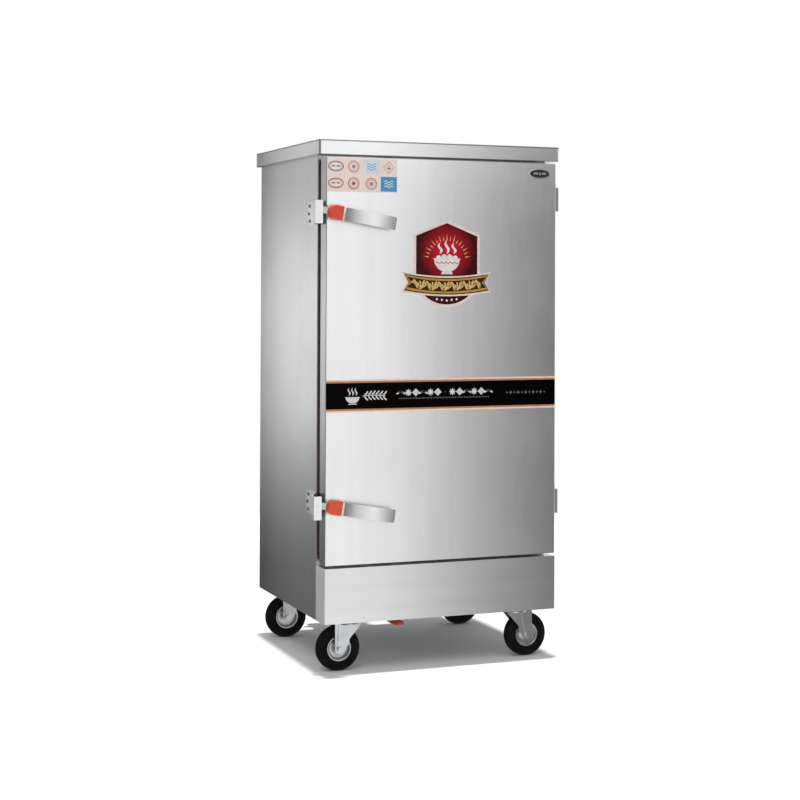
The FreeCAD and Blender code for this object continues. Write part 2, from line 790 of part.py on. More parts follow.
# Drain
def drain_valve():
    """Down pipe from the tank, valve block across it and an outlet spigot to the right."""
    center = vec(drain_x, drain_y, drain_z)
    drop = tank_z - drain_z
    left_end = center - vec(drain_block_length / 2, 0, 0)
    outlet_length = drain_block_length / 2 + drain_spigot_length
    body = fuse([rod(drain_pipe_radius, drop, center, axis_z),
                 rod(drain_block_radius, drain_block_length, left_end, axis_x),
                 hexagon(drain_block_radius, drain_block_length / 6,
                         left_end - vec(drain_block_length / 6, 0, 0), axis_x),
                 rod(drain_pipe_radius, outlet_length, center, axis_x),
                 rod(drain_stem_radius * 2, drain_block_radius + drain_stem_height / 2, center,
                     vec(0, 0, -1))])
    stem_hole = rod(drain_stem_radius + drain_stem_clearance, drain_block_radius * 2, center, vec(0, 0, -1))
    return body.cut(group([rod(drain_bore_radius, drop, center, axis_z),
                           rod(drain_bore_radius, outlet_length, center, axis_x),
                           Part.makeSphere(drain_ball_radius + drain_ball_clearance, center), stem_hole]))


def drain_lever():
    """Ball, stem and lever of the drain valve; the lever points to the front, across the pipe."""
    center = vec(drain_x, drain_y, drain_z)
    down = vec(0, 0, -1)
    plate_top_z = drain_z - drain_block_radius - drain_stem_height
    ball_bore = rod(drain_bore_radius * drain_ball_bore_share, drain_ball_radius * 4,
                    center - vec(0, drain_ball_radius * 2, 0), axis_y)
    ball = Part.makeSphere(drain_ball_radius, center).cut(ball_bore)
    stem_top = center - vec(0, 0, drain_ball_radius * drain_stem_seat_share)
    stem = rod(drain_stem_radius, stem_top.z - plate_top_z + drain_lever_thickness, stem_top, down)
    half = drain_lever_width / 2
    front = drain_y - drain_lever_length
    arm = soft_block(drain_x - half, drain_x + half, front, drain_y + half,
                     plate_top_z - drain_lever_thickness, plate_top_z, axis_z, half * lever_end_share)
    lever = fuse([ball, stem, arm])
    grip_z = plate_top_z - drain_lever_thickness / 2
    half_grip = drain_grip_width / 2
    sleeve = soft_block(drain_x - half_grip, drain_x + half_grip, front - drain_lever_thickness,
                        front + drain_grip_length, grip_z - drain_grip_thickness / 2,
                        grip_z + drain_grip_thickness / 2, axis_z, half_grip * grip_end_share)
    rim = edges_where(sleeve, lambda e: not runs_along(e, axis_z))
    sleeve = sleeve.makeFillet(drain_grip_thickness * soft_rim_share, rim)
    return group([lever, sleeve.cut(lever)])


# Vent, terminal box and gland on the back
def vent_hole():
    start = vec(0, chamber_back_y - liner_sheet, vent_z)
    return rod(vent_bore_radius + vent_wall + screw_clearance, back_y + liner_sheet * 2 - chamber_back_y,
               start, axis_y)


def steam_vent():
    start = vec(0, chamber_back_y - vent_flange_thickness, vent_z)
    outer_radius = vent_bore_radius + vent_wall
    end_y = back_y + vent_reach
    tube = fuse([rod(outer_radius, end_y - start.y, start, axis_y),
                 rod(vent_flange_radius, vent_flange_thickness, start, axis_y),
                 rod(vent_flange_radius, vent_flange_thickness, vec(0, back_y, vent_z), axis_y),
                 rod(outer_radius + vent_wall, vent_wall * 2, vec(0, end_y - vent_wall * 2, vent_z),
                     axis_y)])
    return tube.cut(rod(vent_bore_radius, end_y - start.y, start, axis_y))


def terminal_box():
    """Shallow box open to the rear and its lid with rims outside."""
    x0 = terminal_center_x - terminal_width / 2
    x1 = terminal_center_x + terminal_width / 2
    z1 = terminal_z + terminal_height
    sheet = terminal_sheet
    box = block(x0, x1, back_y, terminal_back_y, terminal_z, z1)
    box = box.cut(block(x0 + sheet, x1 - sheet, back_y + sheet, terminal_back_y, terminal_z + sheet,
                        z1 - sheet))
    box = box.cut(rod(gland_thread_radius + screw_clearance, 2 * sheet, vec(gland_x, gland_y, terminal_z),
                      axis_z))
    gap = supply_lid_clearance
    lid = block(x0 - gap - sheet, x1 + gap + sheet, terminal_back_y - terminal_lid_thickness,
                terminal_back_y + sheet,
                terminal_z - gap - sheet, z1 + gap + sheet)
    lid = lid.cut(block(x0 - gap, x1 + gap, terminal_back_y - terminal_lid_thickness, terminal_back_y,
                        terminal_z - gap, z1 + gap))
    return group([box, lid])


def cable_gland():
    """Gland through the terminal box's floor: thread, hexagon, dome nut and inner locknut."""
    down = vec(0, 0, -1)
    inside_z = terminal_z + terminal_sheet
    nut_z = inside_z + gland_hex_length / 2
    seat = vec(gland_x, gland_y, terminal_z)
    dome_start = seat - vec(0, 0, gland_hex_length)
    dome = rod(gland_dome_radius, gland_dome_length, dome_start, down)
    rim = edges_where(dome, lambda e: e.BoundBox.ZMax < dome_start.z - 1 and e.BoundBox.ZLength < 1)
    dome = dome.makeFillet(gland_dome_radius * soft_rim_share, rim)
    body = fuse([rod(gland_thread_radius, nut_z + 2 * terminal_sheet - terminal_z, seat, axis_z), dome,
                 hexagon(gland_hex_radius, gland_hex_length, dome_start, axis_z),
                 hexagon(gland_hex_radius, gland_hex_length / 2, vec(gland_x, gland_y, inside_z), axis_z)])
    bore_start = dome_start - vec(0, 0, gland_dome_length)
    return body.cut(rod(gland_bore_radius, terminal_height, bore_start, axis_z))


# Casters
def caster_places():
    """Kingpin places and the side to which each wheel trails."""
    return [(side * caster_x, y, side) for y in (-caster_y, caster_y) for side in (-1, 1)]


def bolt_places(x, y):
    half_x = caster_plate_length / 2 - caster_bolt_inset
    half_y = caster_plate_width / 2 - caster_bolt_inset
    return [(x + sx * half_x, y + sy * half_y) for sx in (-1, 1) for sy in (-1, 1)]


def caster_plate(x, y):
    """Top plate with race, kingpin and the four bolts that hold it under the chassis."""
    half_x = caster_plate_length / 2
    half_y = caster_plate_width / 2
    parts = [soft_block(x - half_x, x + half_x, y - half_y, y + half_y, caster_plate_z, base_z, axis_z,
                        caster_plate_corner)]
    parts.append(rod(race_radius, race_height, vec(x, y, race_z), axis_z))
    parts.append(rod(kingpin_radius, race_z - kingpin_head_z, vec(x, y, kingpin_head_z), axis_z))
    parts.append(rod(kingpin_head_radius, kingpin_head_thickness, vec(x, y, kingpin_head_z), axis_z))
    for bx, by in bolt_places(x, y):
        head_z = caster_plate_z - caster_bolt_head_thickness
        nut_z = pan_top_z
        parts.append(rod(caster_bolt_radius, nut_z - head_z + caster_bolt_head_thickness,
                         vec(bx, by, head_z), axis_z))
        parts.append(hexagon(caster_bolt_head_radius, caster_bolt_head_thickness, vec(bx, by, head_z),
                             axis_z))
        parts.append(hexagon(caster_bolt_head_radius, caster_bolt_head_thickness, vec(bx, by, nut_z),
                             axis_z))
    return fuse(parts)


def caster_fork(x, y, side):
    """Swivel fork trailing to one side, with the axle bolt as a solid of its own."""
    def at(t, offset_y, z):
        return vec(x + side * t, y + offset_y, z)

    top_z = crown_z + fork_crown_thickness
    axle_z = wheel_radius
    back_t = caster_trail + fork_boss_radius
    front_t = -fork_crown_width / 2
    lean = fork_boss_radius * fork_toe_share
    leg_t = back_t - fork_leg_width
    outline = [(front_t, top_z), (back_t, top_z), (back_t, axle_z), (caster_trail, axle_z),
               (caster_trail - lean, axle_z - lean * fork_toe_drop), (leg_t, axle_z + fork_toe_rise),
               (leg_t, crown_z - fork_shoulder_drop), (front_t, crown_z - fork_plate)]
    parts = [rod(fork_crown_width / 2, fork_crown_thickness, at(0, 0, crown_z), axis_z),
             rod(race_radius, fork_race_height, at(0, 0, top_z), axis_z)]
    cheek = [at(front_t, -fork_outer_y, crown_z), at(back_t, -fork_outer_y, crown_z),
             at(back_t, fork_outer_y, crown_z), at(front_t, fork_outer_y, crown_z)]
    parts.append(plate(cheek, vec(0, 0, 0), vec(0, 0, fork_crown_thickness)))
    for leg in (-1, 1):
        start_y = min(leg * fork_inner_y, leg * fork_outer_y)
        parts.append(plate([at(t, start_y, z) for t, z in outline], vec(0, 0, 0), vec(0, fork_plate, 0)))
        parts.append(rod(fork_boss_radius, fork_plate, at(caster_trail, start_y, axle_z), axis_y))
        rib_y = fork_outer_y if leg > 0 else -fork_outer_y - fork_rib_height
        half = fork_rib_width / 2
        rib = [(caster_trail - half, axle_z), (caster_trail + half, axle_z),
               (caster_trail + half * fork_rib_front_share, crown_z),
               (caster_trail - half * fork_rib_back_share, crown_z)]
        parts.append(plate([at(t, rib_y, z) for t, z in rib], vec(0, 0, 0), vec(0, fork_rib_height, 0)))
        parts.append(rod(half, fork_rib_height, at(caster_trail, rib_y, axle_z), axis_y))
    reach = fork_outer_y + fork_rib_height
    holes = [rod(kingpin_radius + kingpin_clearance, base_z, at(0, 0, 0), axis_z),
             rod(axle_radius + axle_clearance, 2 * reach, at(caster_trail, -reach, axle_z), axis_y)]
    fork = fuse(parts).cut(group(holes))
    bolt_reach = reach + axle_head_thickness
    bolt = fuse([rod(axle_radius, 2 * bolt_reach, at(caster_trail, -bolt_reach, axle_z), axis_y),
                 hexagon(axle_head_radius, axle_head_thickness, at(caster_trail, -bolt_reach, axle_z),
                         axis_y),
                 hexagon(axle_head_radius, axle_head_thickness, at(caster_trail, reach, axle_z), axis_y)])
    return group([fork, bolt])


def turned(profile, center):
    """Solid of revolution about the wheel's axle; profile holds radius and width pairs."""
    points = [center + vec(radius, width, 0) for radius, width in profile]
    face = Part.Face(Part.makePolygon(points + [points[0]]))
    return face.revolve(center, axis_y, 360)


def wheel_rim(center):
    bore = axle_radius + axle_clearance
    hub_half = wheel_width / 2 + fork_side_gap / 2
    rim_radius = wheel_radius - tyre_depth
    rim_half = wheel_width / 2 - rim_web
    inside = rim_radius - rim_web
    web = rim_web / 2
    profile = [(bore, -hub_half), (hub_radius, -hub_half), (hub_radius, -web), (inside, -web),
               (inside, -rim_half), (rim_radius, -rim_half), (rim_radius, rim_half), (inside, rim_half),
               (inside, web), (hub_radius, web), (hub_radius, hub_half), (bore, hub_half)]
    return turned(profile, center)


def tyre(center):
    half = wheel_width / 2
    inner = wheel_radius - tyre_depth
    ring = turned([(inner, -half), (wheel_radius, -half), (wheel_radius, half), (inner, half)], center)
    tread = edges_where(ring, lambda e: e.Length > 2 * math.pi * (wheel_radius - 1))
    return ring.makeFillet(tyre_shoulder, tread)


# Latches
def latch_keeper(z):
    """Folded sheet: leaf on the side panel, slanted web and the flange the tongue hooks behind."""
    hook_y = keeper_front_y + keeper_hook_depth
    sheet = keeper_sheet
    leaf_x = -side_x - sheet
    flange_x = keeper_outer_x + keeper_face_width
    outline = [(-side_x, keeper_leaf_back_y), (leaf_x, keeper_leaf_back_y), (leaf_x, keeper_leaf_front_y),
               (keeper_outer_x, hook_y), (keeper_outer_x, keeper_front_y), (flange_x, keeper_front_y),
               (flange_x, keeper_back_y), (keeper_outer_x + sheet, keeper_back_y),
               (keeper_outer_x + sheet, hook_y), (-side_x, keeper_leaf_front_y)]
    bottom_z = z - keeper_height / 2
    shape = plate([vec(x, y, bottom_z) for x, y in outline], vec(0, 0, 0), vec(0, 0, keeper_height))
    shape = round_along(shape, axis_x, keeper_leaf_corner, lambda m: m.y > keeper_leaf_back_y - 1)
    shape = round_along(shape, axis_y, keeper_sheet, lambda m: abs(m.x - flange_x) < 1)
    holes = [rod(keeper_hole_radius, keeper_sheet * 2, seat, axis_x) for seat in keeper_screw_seats()]
    return shape.cut(group(holes))


def latch_base(z):
    """Plate on the door's front with the stud that the lever turns on."""
    half = latch_base_width / 2
    plate_left_x = max(latch_x - half, -door_x + fold_radius)
    seat = soft_block(plate_left_x, latch_x + half, latch_base_y, front_y, z - latch_base_height / 2,
                      z + latch_base_height / 2, axis_y, latch_base_thickness)
    stud_length = latch_base_y - hub_front_y + grip_pocket_depth / 2
    return fuse([seat, rod(latch_stud_radius, stud_length, vec(latch_x, latch_base_y, z), vec(0, -1, 0))])


def lever_turned(shape, z):
    """Droop the shape about its latch's pivot."""
    shape.rotate(vec(latch_x, 0, z), axis_y, lever_droop)
    return shape


def latch_lever_straight(z):
    """Hub, tongue and bowed blade before the droop is applied."""
    tongue = soft_block(latch_x - tongue_length, latch_x, hub_front_y, hub_back_y, z - tongue_height / 2,
                        z + tongue_height / 2, axis_y, fold_radius)
    hub = rod(latch_hub_radius, tongue_thickness, vec(latch_x, hub_back_y, z), vec(0, -1, 0))
    fall = lever_bow - lever_end_rise
    peak_x = lever_peak_share * lever_reach
    radius = ((lever_reach - peak_x) ** 2 + fall ** 2) / (2 * fall)
    center = vec(latch_x + peak_x, hub_front_y - lever_bow + radius, z - lever_height / 2)
    start_x = peak_x - math.sqrt(2 * radius * lever_bow - lever_bow ** 2)
    outer = [vec(latch_x + start_x, hub_front_y, center.z),
             vec(center.x, hub_front_y - lever_bow, center.z),
             vec(latch_x + lever_reach, hub_front_y - lever_end_rise, center.z)]
    inner = [point + vec(0, lever_thickness, 0) for point in outer]
    band = Part.Wire([Part.Arc(*outer).toShape(), Part.LineSegment(outer[2], inner[2]).toShape(),
                      Part.Arc(*reversed(inner)).toShape(), Part.LineSegment(inner[0], outer[0]).toShape()])
    blade = Part.Face(band).extrude(vec(0, 0, lever_height))
    blade = round_along(blade, axis_y, lever_end_radius, lambda m: m.x > latch_x + lever_reach - 1)
    bore = rod(latch_stud_radius + latch_stud_clearance, 3 * tongue_thickness,
               vec(latch_x, hub_back_y, z), vec(0, -1, 0))
    return fuse([hub, tongue, blade]).cut(bore)


def latch_lever(z):
    return lever_turned(latch_lever_straight(z), z)


def latch_grip(z):
    """Red cap over the hub, round towards the keeper, with a pocket for the stud's end."""
    half = grip_height / 2
    left_x = latch_x - grip_length / 2 + grip_offset
    cap = block(left_x, left_x + grip_length, hub_front_y - grip_thickness, hub_front_y, z - half, z + half)
    cap = round_along(cap, axis_y, half * latch_cap_share, lambda m: m.x < latch_x)
    front = edges_where(cap, lambda e: abs(e.CenterOfMass.y - hub_front_y + grip_thickness) < touch)
    cap = cap.makeFillet(grip_thickness / 3, front)
    pocket = rod(latch_stud_radius + grip_pocket_depth / 2, grip_pocket_depth,
                 vec(latch_x, hub_front_y, z), vec(0, -1, 0))
    return lever_turned(cap.cut(pocket).cut(latch_lever_straight(z)), z)


# Door
def door_skin():
    """Outer sheet folded back on all four sides."""
    outer = soft_block(-door_x, door_x, front_y, door_back_y, door_bottom_z, door_top_z, axis_z,
                       fold_radius)
    outer = outer.common(block(-door_x, door_x, front_y, door_back_y, door_bottom_z, door_top_z))
    inner_x = door_x - shell_sheet
    inner = block(-inner_x, inner_x, front_y + shell_sheet, door_back_y,
                  door_bottom_z + shell_sheet, door_top_z - shell_sheet)
    return outer.cut(inner)


def frustum(inset, z0, z1, y0, y1):
    """Raised field whose sides slope in as it rises towards +Y."""
    def ring(half_x, low, high, y):
        corners = [vec(-half_x, y, low), vec(half_x, y, low), vec(half_x, y, high), vec(-half_x, y, high)]
        return Part.makePolygon(corners + [corners[0]])

    x = door_x - inset
    slope = door_field_slope
    return Part.makeLoft([ring(x, z0, z1, y0), ring(x - slope, z0 + slope, z1 - slope, y1)], True)


def door_field(inset, drop):
    low = door_bottom_z + inset
    high = door_top_z - inset
    base_y = door_back_y - shell_sheet
    return frustum(inset, low, high, base_y, door_back_y + door_field_height - drop)


def door_inner_panel():
    """Pressed inner sheet with a raised field that reaches into the mouth."""
    inner_x = door_x - shell_sheet
    sheet = block(-inner_x, inner_x, door_back_y - shell_sheet, door_back_y,
                  door_bottom_z + shell_sheet, door_top_z - shell_sheet)
    field = door_field(door_field_inset, 0)
    return fuse([sheet, field]).cut(door_field(door_field_inset + shell_sheet, shell_sheet))


def door_foam():
    inner_x = door_x - shell_sheet
    slab = block(-inner_x, inner_x, front_y + shell_sheet, door_back_y - shell_sheet,
                 door_bottom_z + shell_sheet, door_top_z - shell_sheet)
    return fuse([slab, door_field(door_field_inset + shell_sheet, shell_sheet)])


def door_gasket():
    """Ring with a flat base and a narrower soft bulb that meets the mouth frame."""
    def ring(spread, width, y0, y1):
        outer_x = door_x - gasket_inset - spread
        low = door_bottom_z + gasket_inset + spread
        high = door_top_z - gasket_inset - spread
        outer = soft_block(-outer_x, outer_x, y0, y1, low, high, axis_y, gasket_corner)
        inner_x = outer_x - width
        inner = soft_block(-inner_x, inner_x, y0, y1, low + width, high - width, axis_y,
                           gasket_corner - width / 2)
        return outer.cut(inner)

    bulb_y = door_back_y + gasket_base_thickness
    tip_y = mouth_y - seal_clearance
    bulb = ring(gasket_bulb_inset, gasket_bulb_width, bulb_y, tip_y)
    lips = edges_where(bulb, lambda e: abs(e.CenterOfMass.y - tip_y) < touch)
    bulb = bulb.makeFillet(gasket_lip_radius, lips)
    return fuse([ring(0, gasket_base_width, door_back_y, bulb_y), bulb])


# Hinges
def hinge_door_leaf(z):
    """Upper knuckle and its plate on the door's side, bored from below for the pin."""
    low = z + knuckle_gap / 2
    lead_y = hinge_y - hinge_door_leaf_front
    rear_y = hinge_y + hinge_door_leaf_back
    leaf = soft_block(door_x, door_x + hinge_leaf_thickness, lead_y, rear_y,
                      low, low + knuckle_height * 1.5, axis_x, hinge_leaf_radius)
    knuckle = rod(knuckle_radius, knuckle_height, vec(hinge_x, hinge_y, low), axis_z)
    bore = rod(hinge_pin_radius + hinge_pin_clearance, knuckle_height * hinge_bore_share,
               vec(hinge_x, hinge_y, low), axis_z)
    return fuse([leaf, knuckle]).cut(bore)


def hinge_body_leaf(z):
    """Leaf on the side panel, arm along the door's side, lower knuckle and its pin."""
    high = z - knuckle_gap / 2
    low = high - knuckle_height
    outer_x = side_x + hinge_leaf_thickness
    leaf = soft_block(side_x, outer_x, mouth_y, hinge_leaf_back_y, z - knuckle_height, z + knuckle_height,
                      axis_x,
                      hinge_leaf_radius)
    arm = block(side_x, outer_x, hinge_y, mouth_y + hinge_leaf_radius * 2, low, high)
    knuckle = rod(knuckle_radius, knuckle_height, vec(hinge_x, hinge_y, low), axis_z)
    pin = rod(hinge_pin_radius, hinge_pin_length + knuckle_height / 2,
              vec(hinge_x, hinge_y, high - knuckle_height / 2), axis_z)
    holes = [rod(keeper_hole_radius, hinge_leaf_thickness * 2, seat,
                 vec(-1, 0, 0)) for seat in hinge_screw_seats()]
    return fuse([leaf, arm, knuckle, pin]).cut(group(holes))


# How far everything reaches from the cabinet's centre line and middle plane
front_reach = lever_bow - hub_front_y
back_reach = supply_back_y + supply_lid_clearance + supply_sheet
left_reach = -keeper_outer_x
right_reach = hinge_x + knuckle_radius
shift = vec((left_reach - right_reach) / 2, (front_reach - back_reach) / 2, 0)

os.makedirs("parts", exist_ok=True)

save("left_side_panel", drill_sides(side_panel()))
save("right_side_panel", drill_sides(mirrored_x(side_panel())))
save("back_panel", back_panel())
save("top_cover", top_cover())
save("lower_front_panel", lower_front_panel())
save("base_frame", base_frame())
save("mouth_frame", mouth_frame())
save("chamber_liner", chamber_liner())
save("insulation", insulation())
save("tray_racks", group(tray_rack() + [mirrored_x(piece) for piece in tray_rack()]))
for level in range(tray_count):
    save("rice_tray_%02d" % (level + 1), rice_tray(first_tray_z + level * tray_pitch))
save("water_tank", water_tank())
save("heating_elements", group([heater(x) for x in heater_centers()]))
save("steam_baffle", steam_baffle())
save("supply_box", supply_box())
save("supply_box_lid", supply_box_lid())
save("float_valve", float_valve())
save("float_arm", float_arm())
save("drain_valve", drain_valve())
save("drain_lever", drain_lever())
save("steam_vent", steam_vent())
save("terminal_box", terminal_box())
save("cable_gland", cable_gland())
save("latch_keepers", group([latch_keeper(upper_latch_z), latch_keeper(lower_latch_z)]))
save("hinge_body_leaves", group([hinge_body_leaf(upper_hinge_z), hinge_body_leaf(lower_hinge_z)]))
keeper_screws = [screw(seat, axis_x) for seat in keeper_screw_seats()]
hinge_screws = [screw(seat, vec(-1, 0, 0)) for seat in hinge_screw_seats()]
save("body_screws", group(keeper_screws + hinge_screws))
save("caster_plates", group([caster_plate(x, y) for x, y, side in caster_places()]))
for x, y, side in caster_places():
    corner = ("front" if y < 0 else "rear") + ("_left" if x < 0 else "_right")
    axle = vec(x + side * caster_trail, y, wheel_radius)
    save(corner + "_caster_fork", caster_fork(x, y, side))
    save(corner + "_wheel_rim", wheel_rim(axle))
    save(corner + "_tyre", tyre(axle))
save("door_skin", door_skin())
save("door_inner_panel", door_inner_panel())
save("door_foam", door_foam())
save("door_gasket", door_gasket())
save("hinge_door_leaves", group([hinge_door_leaf(upper_hinge_z), hinge_door_leaf(lower_hinge_z)]))
save("latch_bases", group([latch_base(upper_latch_z), latch_base(lower_latch_z)]))
save("upper_latch_lever", latch_lever(upper_latch_z))
save("upper_latch_grip", latch_grip(upper_latch_z))
save("lower_latch_lever", latch_lever(lower_latch_z))
save("lower_latch_grip", latch_grip(lower_latch_z))
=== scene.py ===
import bpy, bmesh, json, math
from mathutils import Matrix, Vector


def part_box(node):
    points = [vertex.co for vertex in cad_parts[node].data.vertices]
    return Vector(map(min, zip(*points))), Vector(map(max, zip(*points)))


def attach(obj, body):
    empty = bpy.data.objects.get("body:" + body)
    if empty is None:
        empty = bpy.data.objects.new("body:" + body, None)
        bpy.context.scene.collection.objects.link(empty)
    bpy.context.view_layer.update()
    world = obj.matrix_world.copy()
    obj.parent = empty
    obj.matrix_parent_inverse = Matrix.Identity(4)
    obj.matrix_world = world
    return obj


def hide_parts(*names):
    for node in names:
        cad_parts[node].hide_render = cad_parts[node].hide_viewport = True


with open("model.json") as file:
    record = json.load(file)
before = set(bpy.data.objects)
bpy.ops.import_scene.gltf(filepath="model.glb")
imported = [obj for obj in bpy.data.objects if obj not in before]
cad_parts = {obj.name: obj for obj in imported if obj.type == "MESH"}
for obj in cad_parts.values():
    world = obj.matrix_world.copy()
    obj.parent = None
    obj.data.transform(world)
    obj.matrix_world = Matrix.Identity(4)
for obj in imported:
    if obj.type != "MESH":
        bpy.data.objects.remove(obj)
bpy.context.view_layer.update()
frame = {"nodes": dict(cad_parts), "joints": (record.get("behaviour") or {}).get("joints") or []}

print("frame loaded:", len(frame["nodes"]), "nodes")

doorLow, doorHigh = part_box("door_skin")
doorFront = doorLow.y
doorMiddle = (doorLow.x + doorHigh.x) / 2
corners = ["front_left", "front_right", "rear_left", "rear_right"]


# Helpers that put shader nodes together
def startMaterial(name, kind="ShaderNodeBsdfPrincipled"):
    material = bpy.data.materials.new(name)
    material.use_nodes = True
    tree = material.node_tree
    tree.nodes.clear()
    output = tree.nodes.new("ShaderNodeOutputMaterial")
    shader = tree.nodes.new(kind)
    tree.links.new(shader.outputs[0], output.inputs[0])
    place = tree.nodes.new("ShaderNodeTexCoord").outputs["Object"]
    return material, tree, shader, place


def alongAxis(tree, place, axis):
    split = tree.nodes.new("ShaderNodeSeparateXYZ")
    tree.links.new(place, split.inputs[0])
    return split.outputs[axis]


def stretched(tree, place, scale):
    mapping = tree.nodes.new("ShaderNodeMapping")
    mapping.inputs["Scale"].default_value = scale
    tree.links.new(place, mapping.inputs["Vector"])
    return mapping.outputs[0]


def noise(tree, place, scale, detail=3.0, roughness=0.55):
    texture = tree.nodes.new("ShaderNodeTexNoise")
    texture.inputs["Scale"].default_value = scale
    texture.inputs["Detail"].default_value = detail
    texture.inputs["Roughness"].default_value = roughness
    tree.links.new(place, texture.inputs["Vector"])
    return texture.outputs["Fac"]


def between(tree, fac, low, high, fromLow=0.3, fromHigh=0.7):
    spread = tree.nodes.new("ShaderNodeMapRange")
    spread.inputs["From Min"].default_value = fromLow
    spread.inputs["From Max"].default_value = fromHigh
    spread.inputs["To Min"].default_value = low
    spread.inputs["To Max"].default_value = high
    tree.links.new(fac, spread.inputs["Value"])
    return spread.outputs[0]


def blendColours(tree, fac, first, second):
    mix = tree.nodes.new("ShaderNodeMix")
    mix.data_type = "RGBA"
    for socket, value in ((mix.inputs[6], first), (mix.inputs[7], second)):
        if isinstance(value, (tuple, list)):
            socket.default_value = (*value, 1.0)
        else:
            tree.links.new(value, socket)
    tree.links.new(fac, mix.inputs[0])
    return mix.outputs[2]


def combine(tree, first, second, how="ADD"):
    mathNode = tree.nodes.new("ShaderNodeMath")
    mathNode.operation = how
    for socket, value in zip(mathNode.inputs, (first, second)):
        if isinstance(value, (int, float)):
            socket.default_value = value
        else:
            tree.links.new(value, socket)
    return mathNode.outputs[0]


def dimmed(colour, share):
    return [c * share for c in colour]


def coat(tree, shader, colour, roughness):
    tree.links.new(colour, shader.inputs["Base Color"])
    tree.links.new(roughness, shader.inputs["Roughness"])


def raiseRelief(tree, shader, height, strength, distance):
    bump = tree.nodes.new("ShaderNodeBump")
    bump.inputs["Strength"].default_value = strength
    bump.inputs["Distance"].default_value = distance
    tree.links.new(height, bump.inputs["Height"])
    tree.links.new(bump.outputs[0], shader.inputs["Normal"])


# Piecewise line through pairs of place and level
def gradient(tree, value, stops):
    low, high = stops[0][0], stops[-1][0]
    ramp = tree.nodes.new("ShaderNodeValToRGB")
    bar = ramp.color_ramp.elements
    for k, (at, level) in enumerate(stops):
        step = bar[0] if k == 0 else bar.new((at - low) / (high - low))
        step.position = (at - low) / (high - low)
        step.color = (level, level, level, 1)
    bar.remove(bar[len(bar) - 1])
    tree.links.new(between(tree, value, 0, 1, low, high), ramp.inputs[0])
    return ramp.outputs[0]


# Finishes
# grain is the noise scale along X, Y and Z: high across the brushing and low along it
def brushedSteel(name, colour, roughness, grain, contrast=0.05, haze=0.0):
    material, tree, shader, place = startMaterial(name)
    lines = noise(tree, stretched(tree, place, grain), 1.0, 5.0, 0.7)
    broad = noise(tree, stretched(tree, place, [max(1.0, g / 14) for g in grain]), 1.0, 2.0)
    smudge = noise(tree, place, 3.2, 4.0, 0.6)
    shader.inputs["Metallic"].default_value = 1.0 - haze
    mixed = combine(tree, combine(tree, lines, 0.6, "MULTIPLY"), combine(tree, broad, 0.4, "MULTIPLY"))
    light = [min(1.0, c * (1 + contrast)) for c in colour]
    brushed = blendColours(tree, between(tree, mixed, 0, 1), dimmed(colour, 1 - contrast), light)
    fine = between(tree, lines, roughness - 0.05, roughness + 0.05)
    coat(tree, shader, brushed, combine(tree, fine, between(tree, smudge, -0.03, 0.05)))
    raiseRelief(tree, shader, mixed, 0.12, 0.0004)
    return material


def polishedMetal(name, colour, roughness, scratch=0.06):
    material, tree, shader, place = startMaterial(name)
    shader.inputs["Metallic"].default_value = 1.0
    fine = noise(tree, stretched(tree, place, (60, 900, 900)), 1.0, 3.0)
    cloud = noise(tree, place, 26.0, 3.0)
    clouded = blendColours(tree, between(tree, cloud, 0, 1), dimmed(colour, 0.9), colour)
    coat(tree, shader, clouded, between(tree, fine, roughness, roughness + scratch))
    raiseRelief(tree, shader, fine, 0.05, 0.0003)
    return material


# Bright zinc with a faint crystal pattern and a little dirt
def zincPlate(name, colour, roughness):
    material, tree, shader, place = startMaterial(name)
    shader.inputs["Metallic"].default_value = 1.0
    cells = tree.nodes.new("ShaderNodeTexVoronoi")
    cells.inputs["Scale"].default_value = 210.0
    tree.links.new(place, cells.inputs["Vector"])
    dirt = noise(tree, place, 34.0, 5.0, 0.65)
    crystals = between(tree, cells.outputs["Distance"], 0, 1, 0.0, 0.8)
    clean = blendColours(tree, crystals, colour, dimmed(colour, 0.94))
    dirty = blendColours(tree, between(tree, dirt, 0, 0.5, 0.5, 0.8), clean, dimmed(colour, 0.5))
    coat(tree, shader, dirty, between(tree, dirt, roughness, roughness + 0.16))
    raiseRelief(tree, shader, dirt, 0.1, 0.0006)
    return material


def rubber(name, colour, dusty, roughness, scale, gloss=0.12):
    material, tree, shader, place = startMaterial(name)
    grain = noise(tree, place, scale, 4.0, 0.6)
    dust = noise(tree, place, 21.0, 4.0)
    dusted = blendColours(tree, between(tree, dust, 0, 0.7, 0.45, 0.8), colour, dusty)
    coat(tree, shader, dusted, between(tree, grain, roughness - 0.08, roughness + 0.1))
    shader.inputs["Specular IOR Level"].default_value = gloss
    raiseRelief(tree, shader, grain, 0.25, 0.0006)
    return material


def mouldedPlastic(name, colour, roughness, worn):
    material, tree, shader, place = startMaterial(name)
    grain = noise(tree, place, 420.0, 3.0)
    wear = noise(tree, place, 60.0, 4.0, 0.6)
    rubbed = blendColours(tree, between(tree, wear, 0, 0.6, 0.5, 0.85), colour, worn)
    coat(tree, shader, rubbed, between(tree, wear, roughness, roughness + 0.15))
    raiseRelief(tree, shader, grain, 0.12, 0.0003)
    return material


# Ink under a thin clear film
def printedFilm(name, colour, shade, roughness=0.3, gloss=0.10):
    material, tree, shader, place = startMaterial(name)
    ink = noise(tree, place, 55.0, 3.0)
    tree.links.new(blendColours(tree, between(tree, ink, 0, 1), colour, shade), shader.inputs["Base Color"])
    handled = between(tree, noise(tree, place, 9.0, 3.0), roughness, roughness + 0.12)
    tree.links.new(handled, shader.inputs["Roughness"])
    shader.inputs["Specular IOR Level"].default_value = gloss
    raiseRelief(tree, shader, ink, 0.04, 0.0003)
    return material


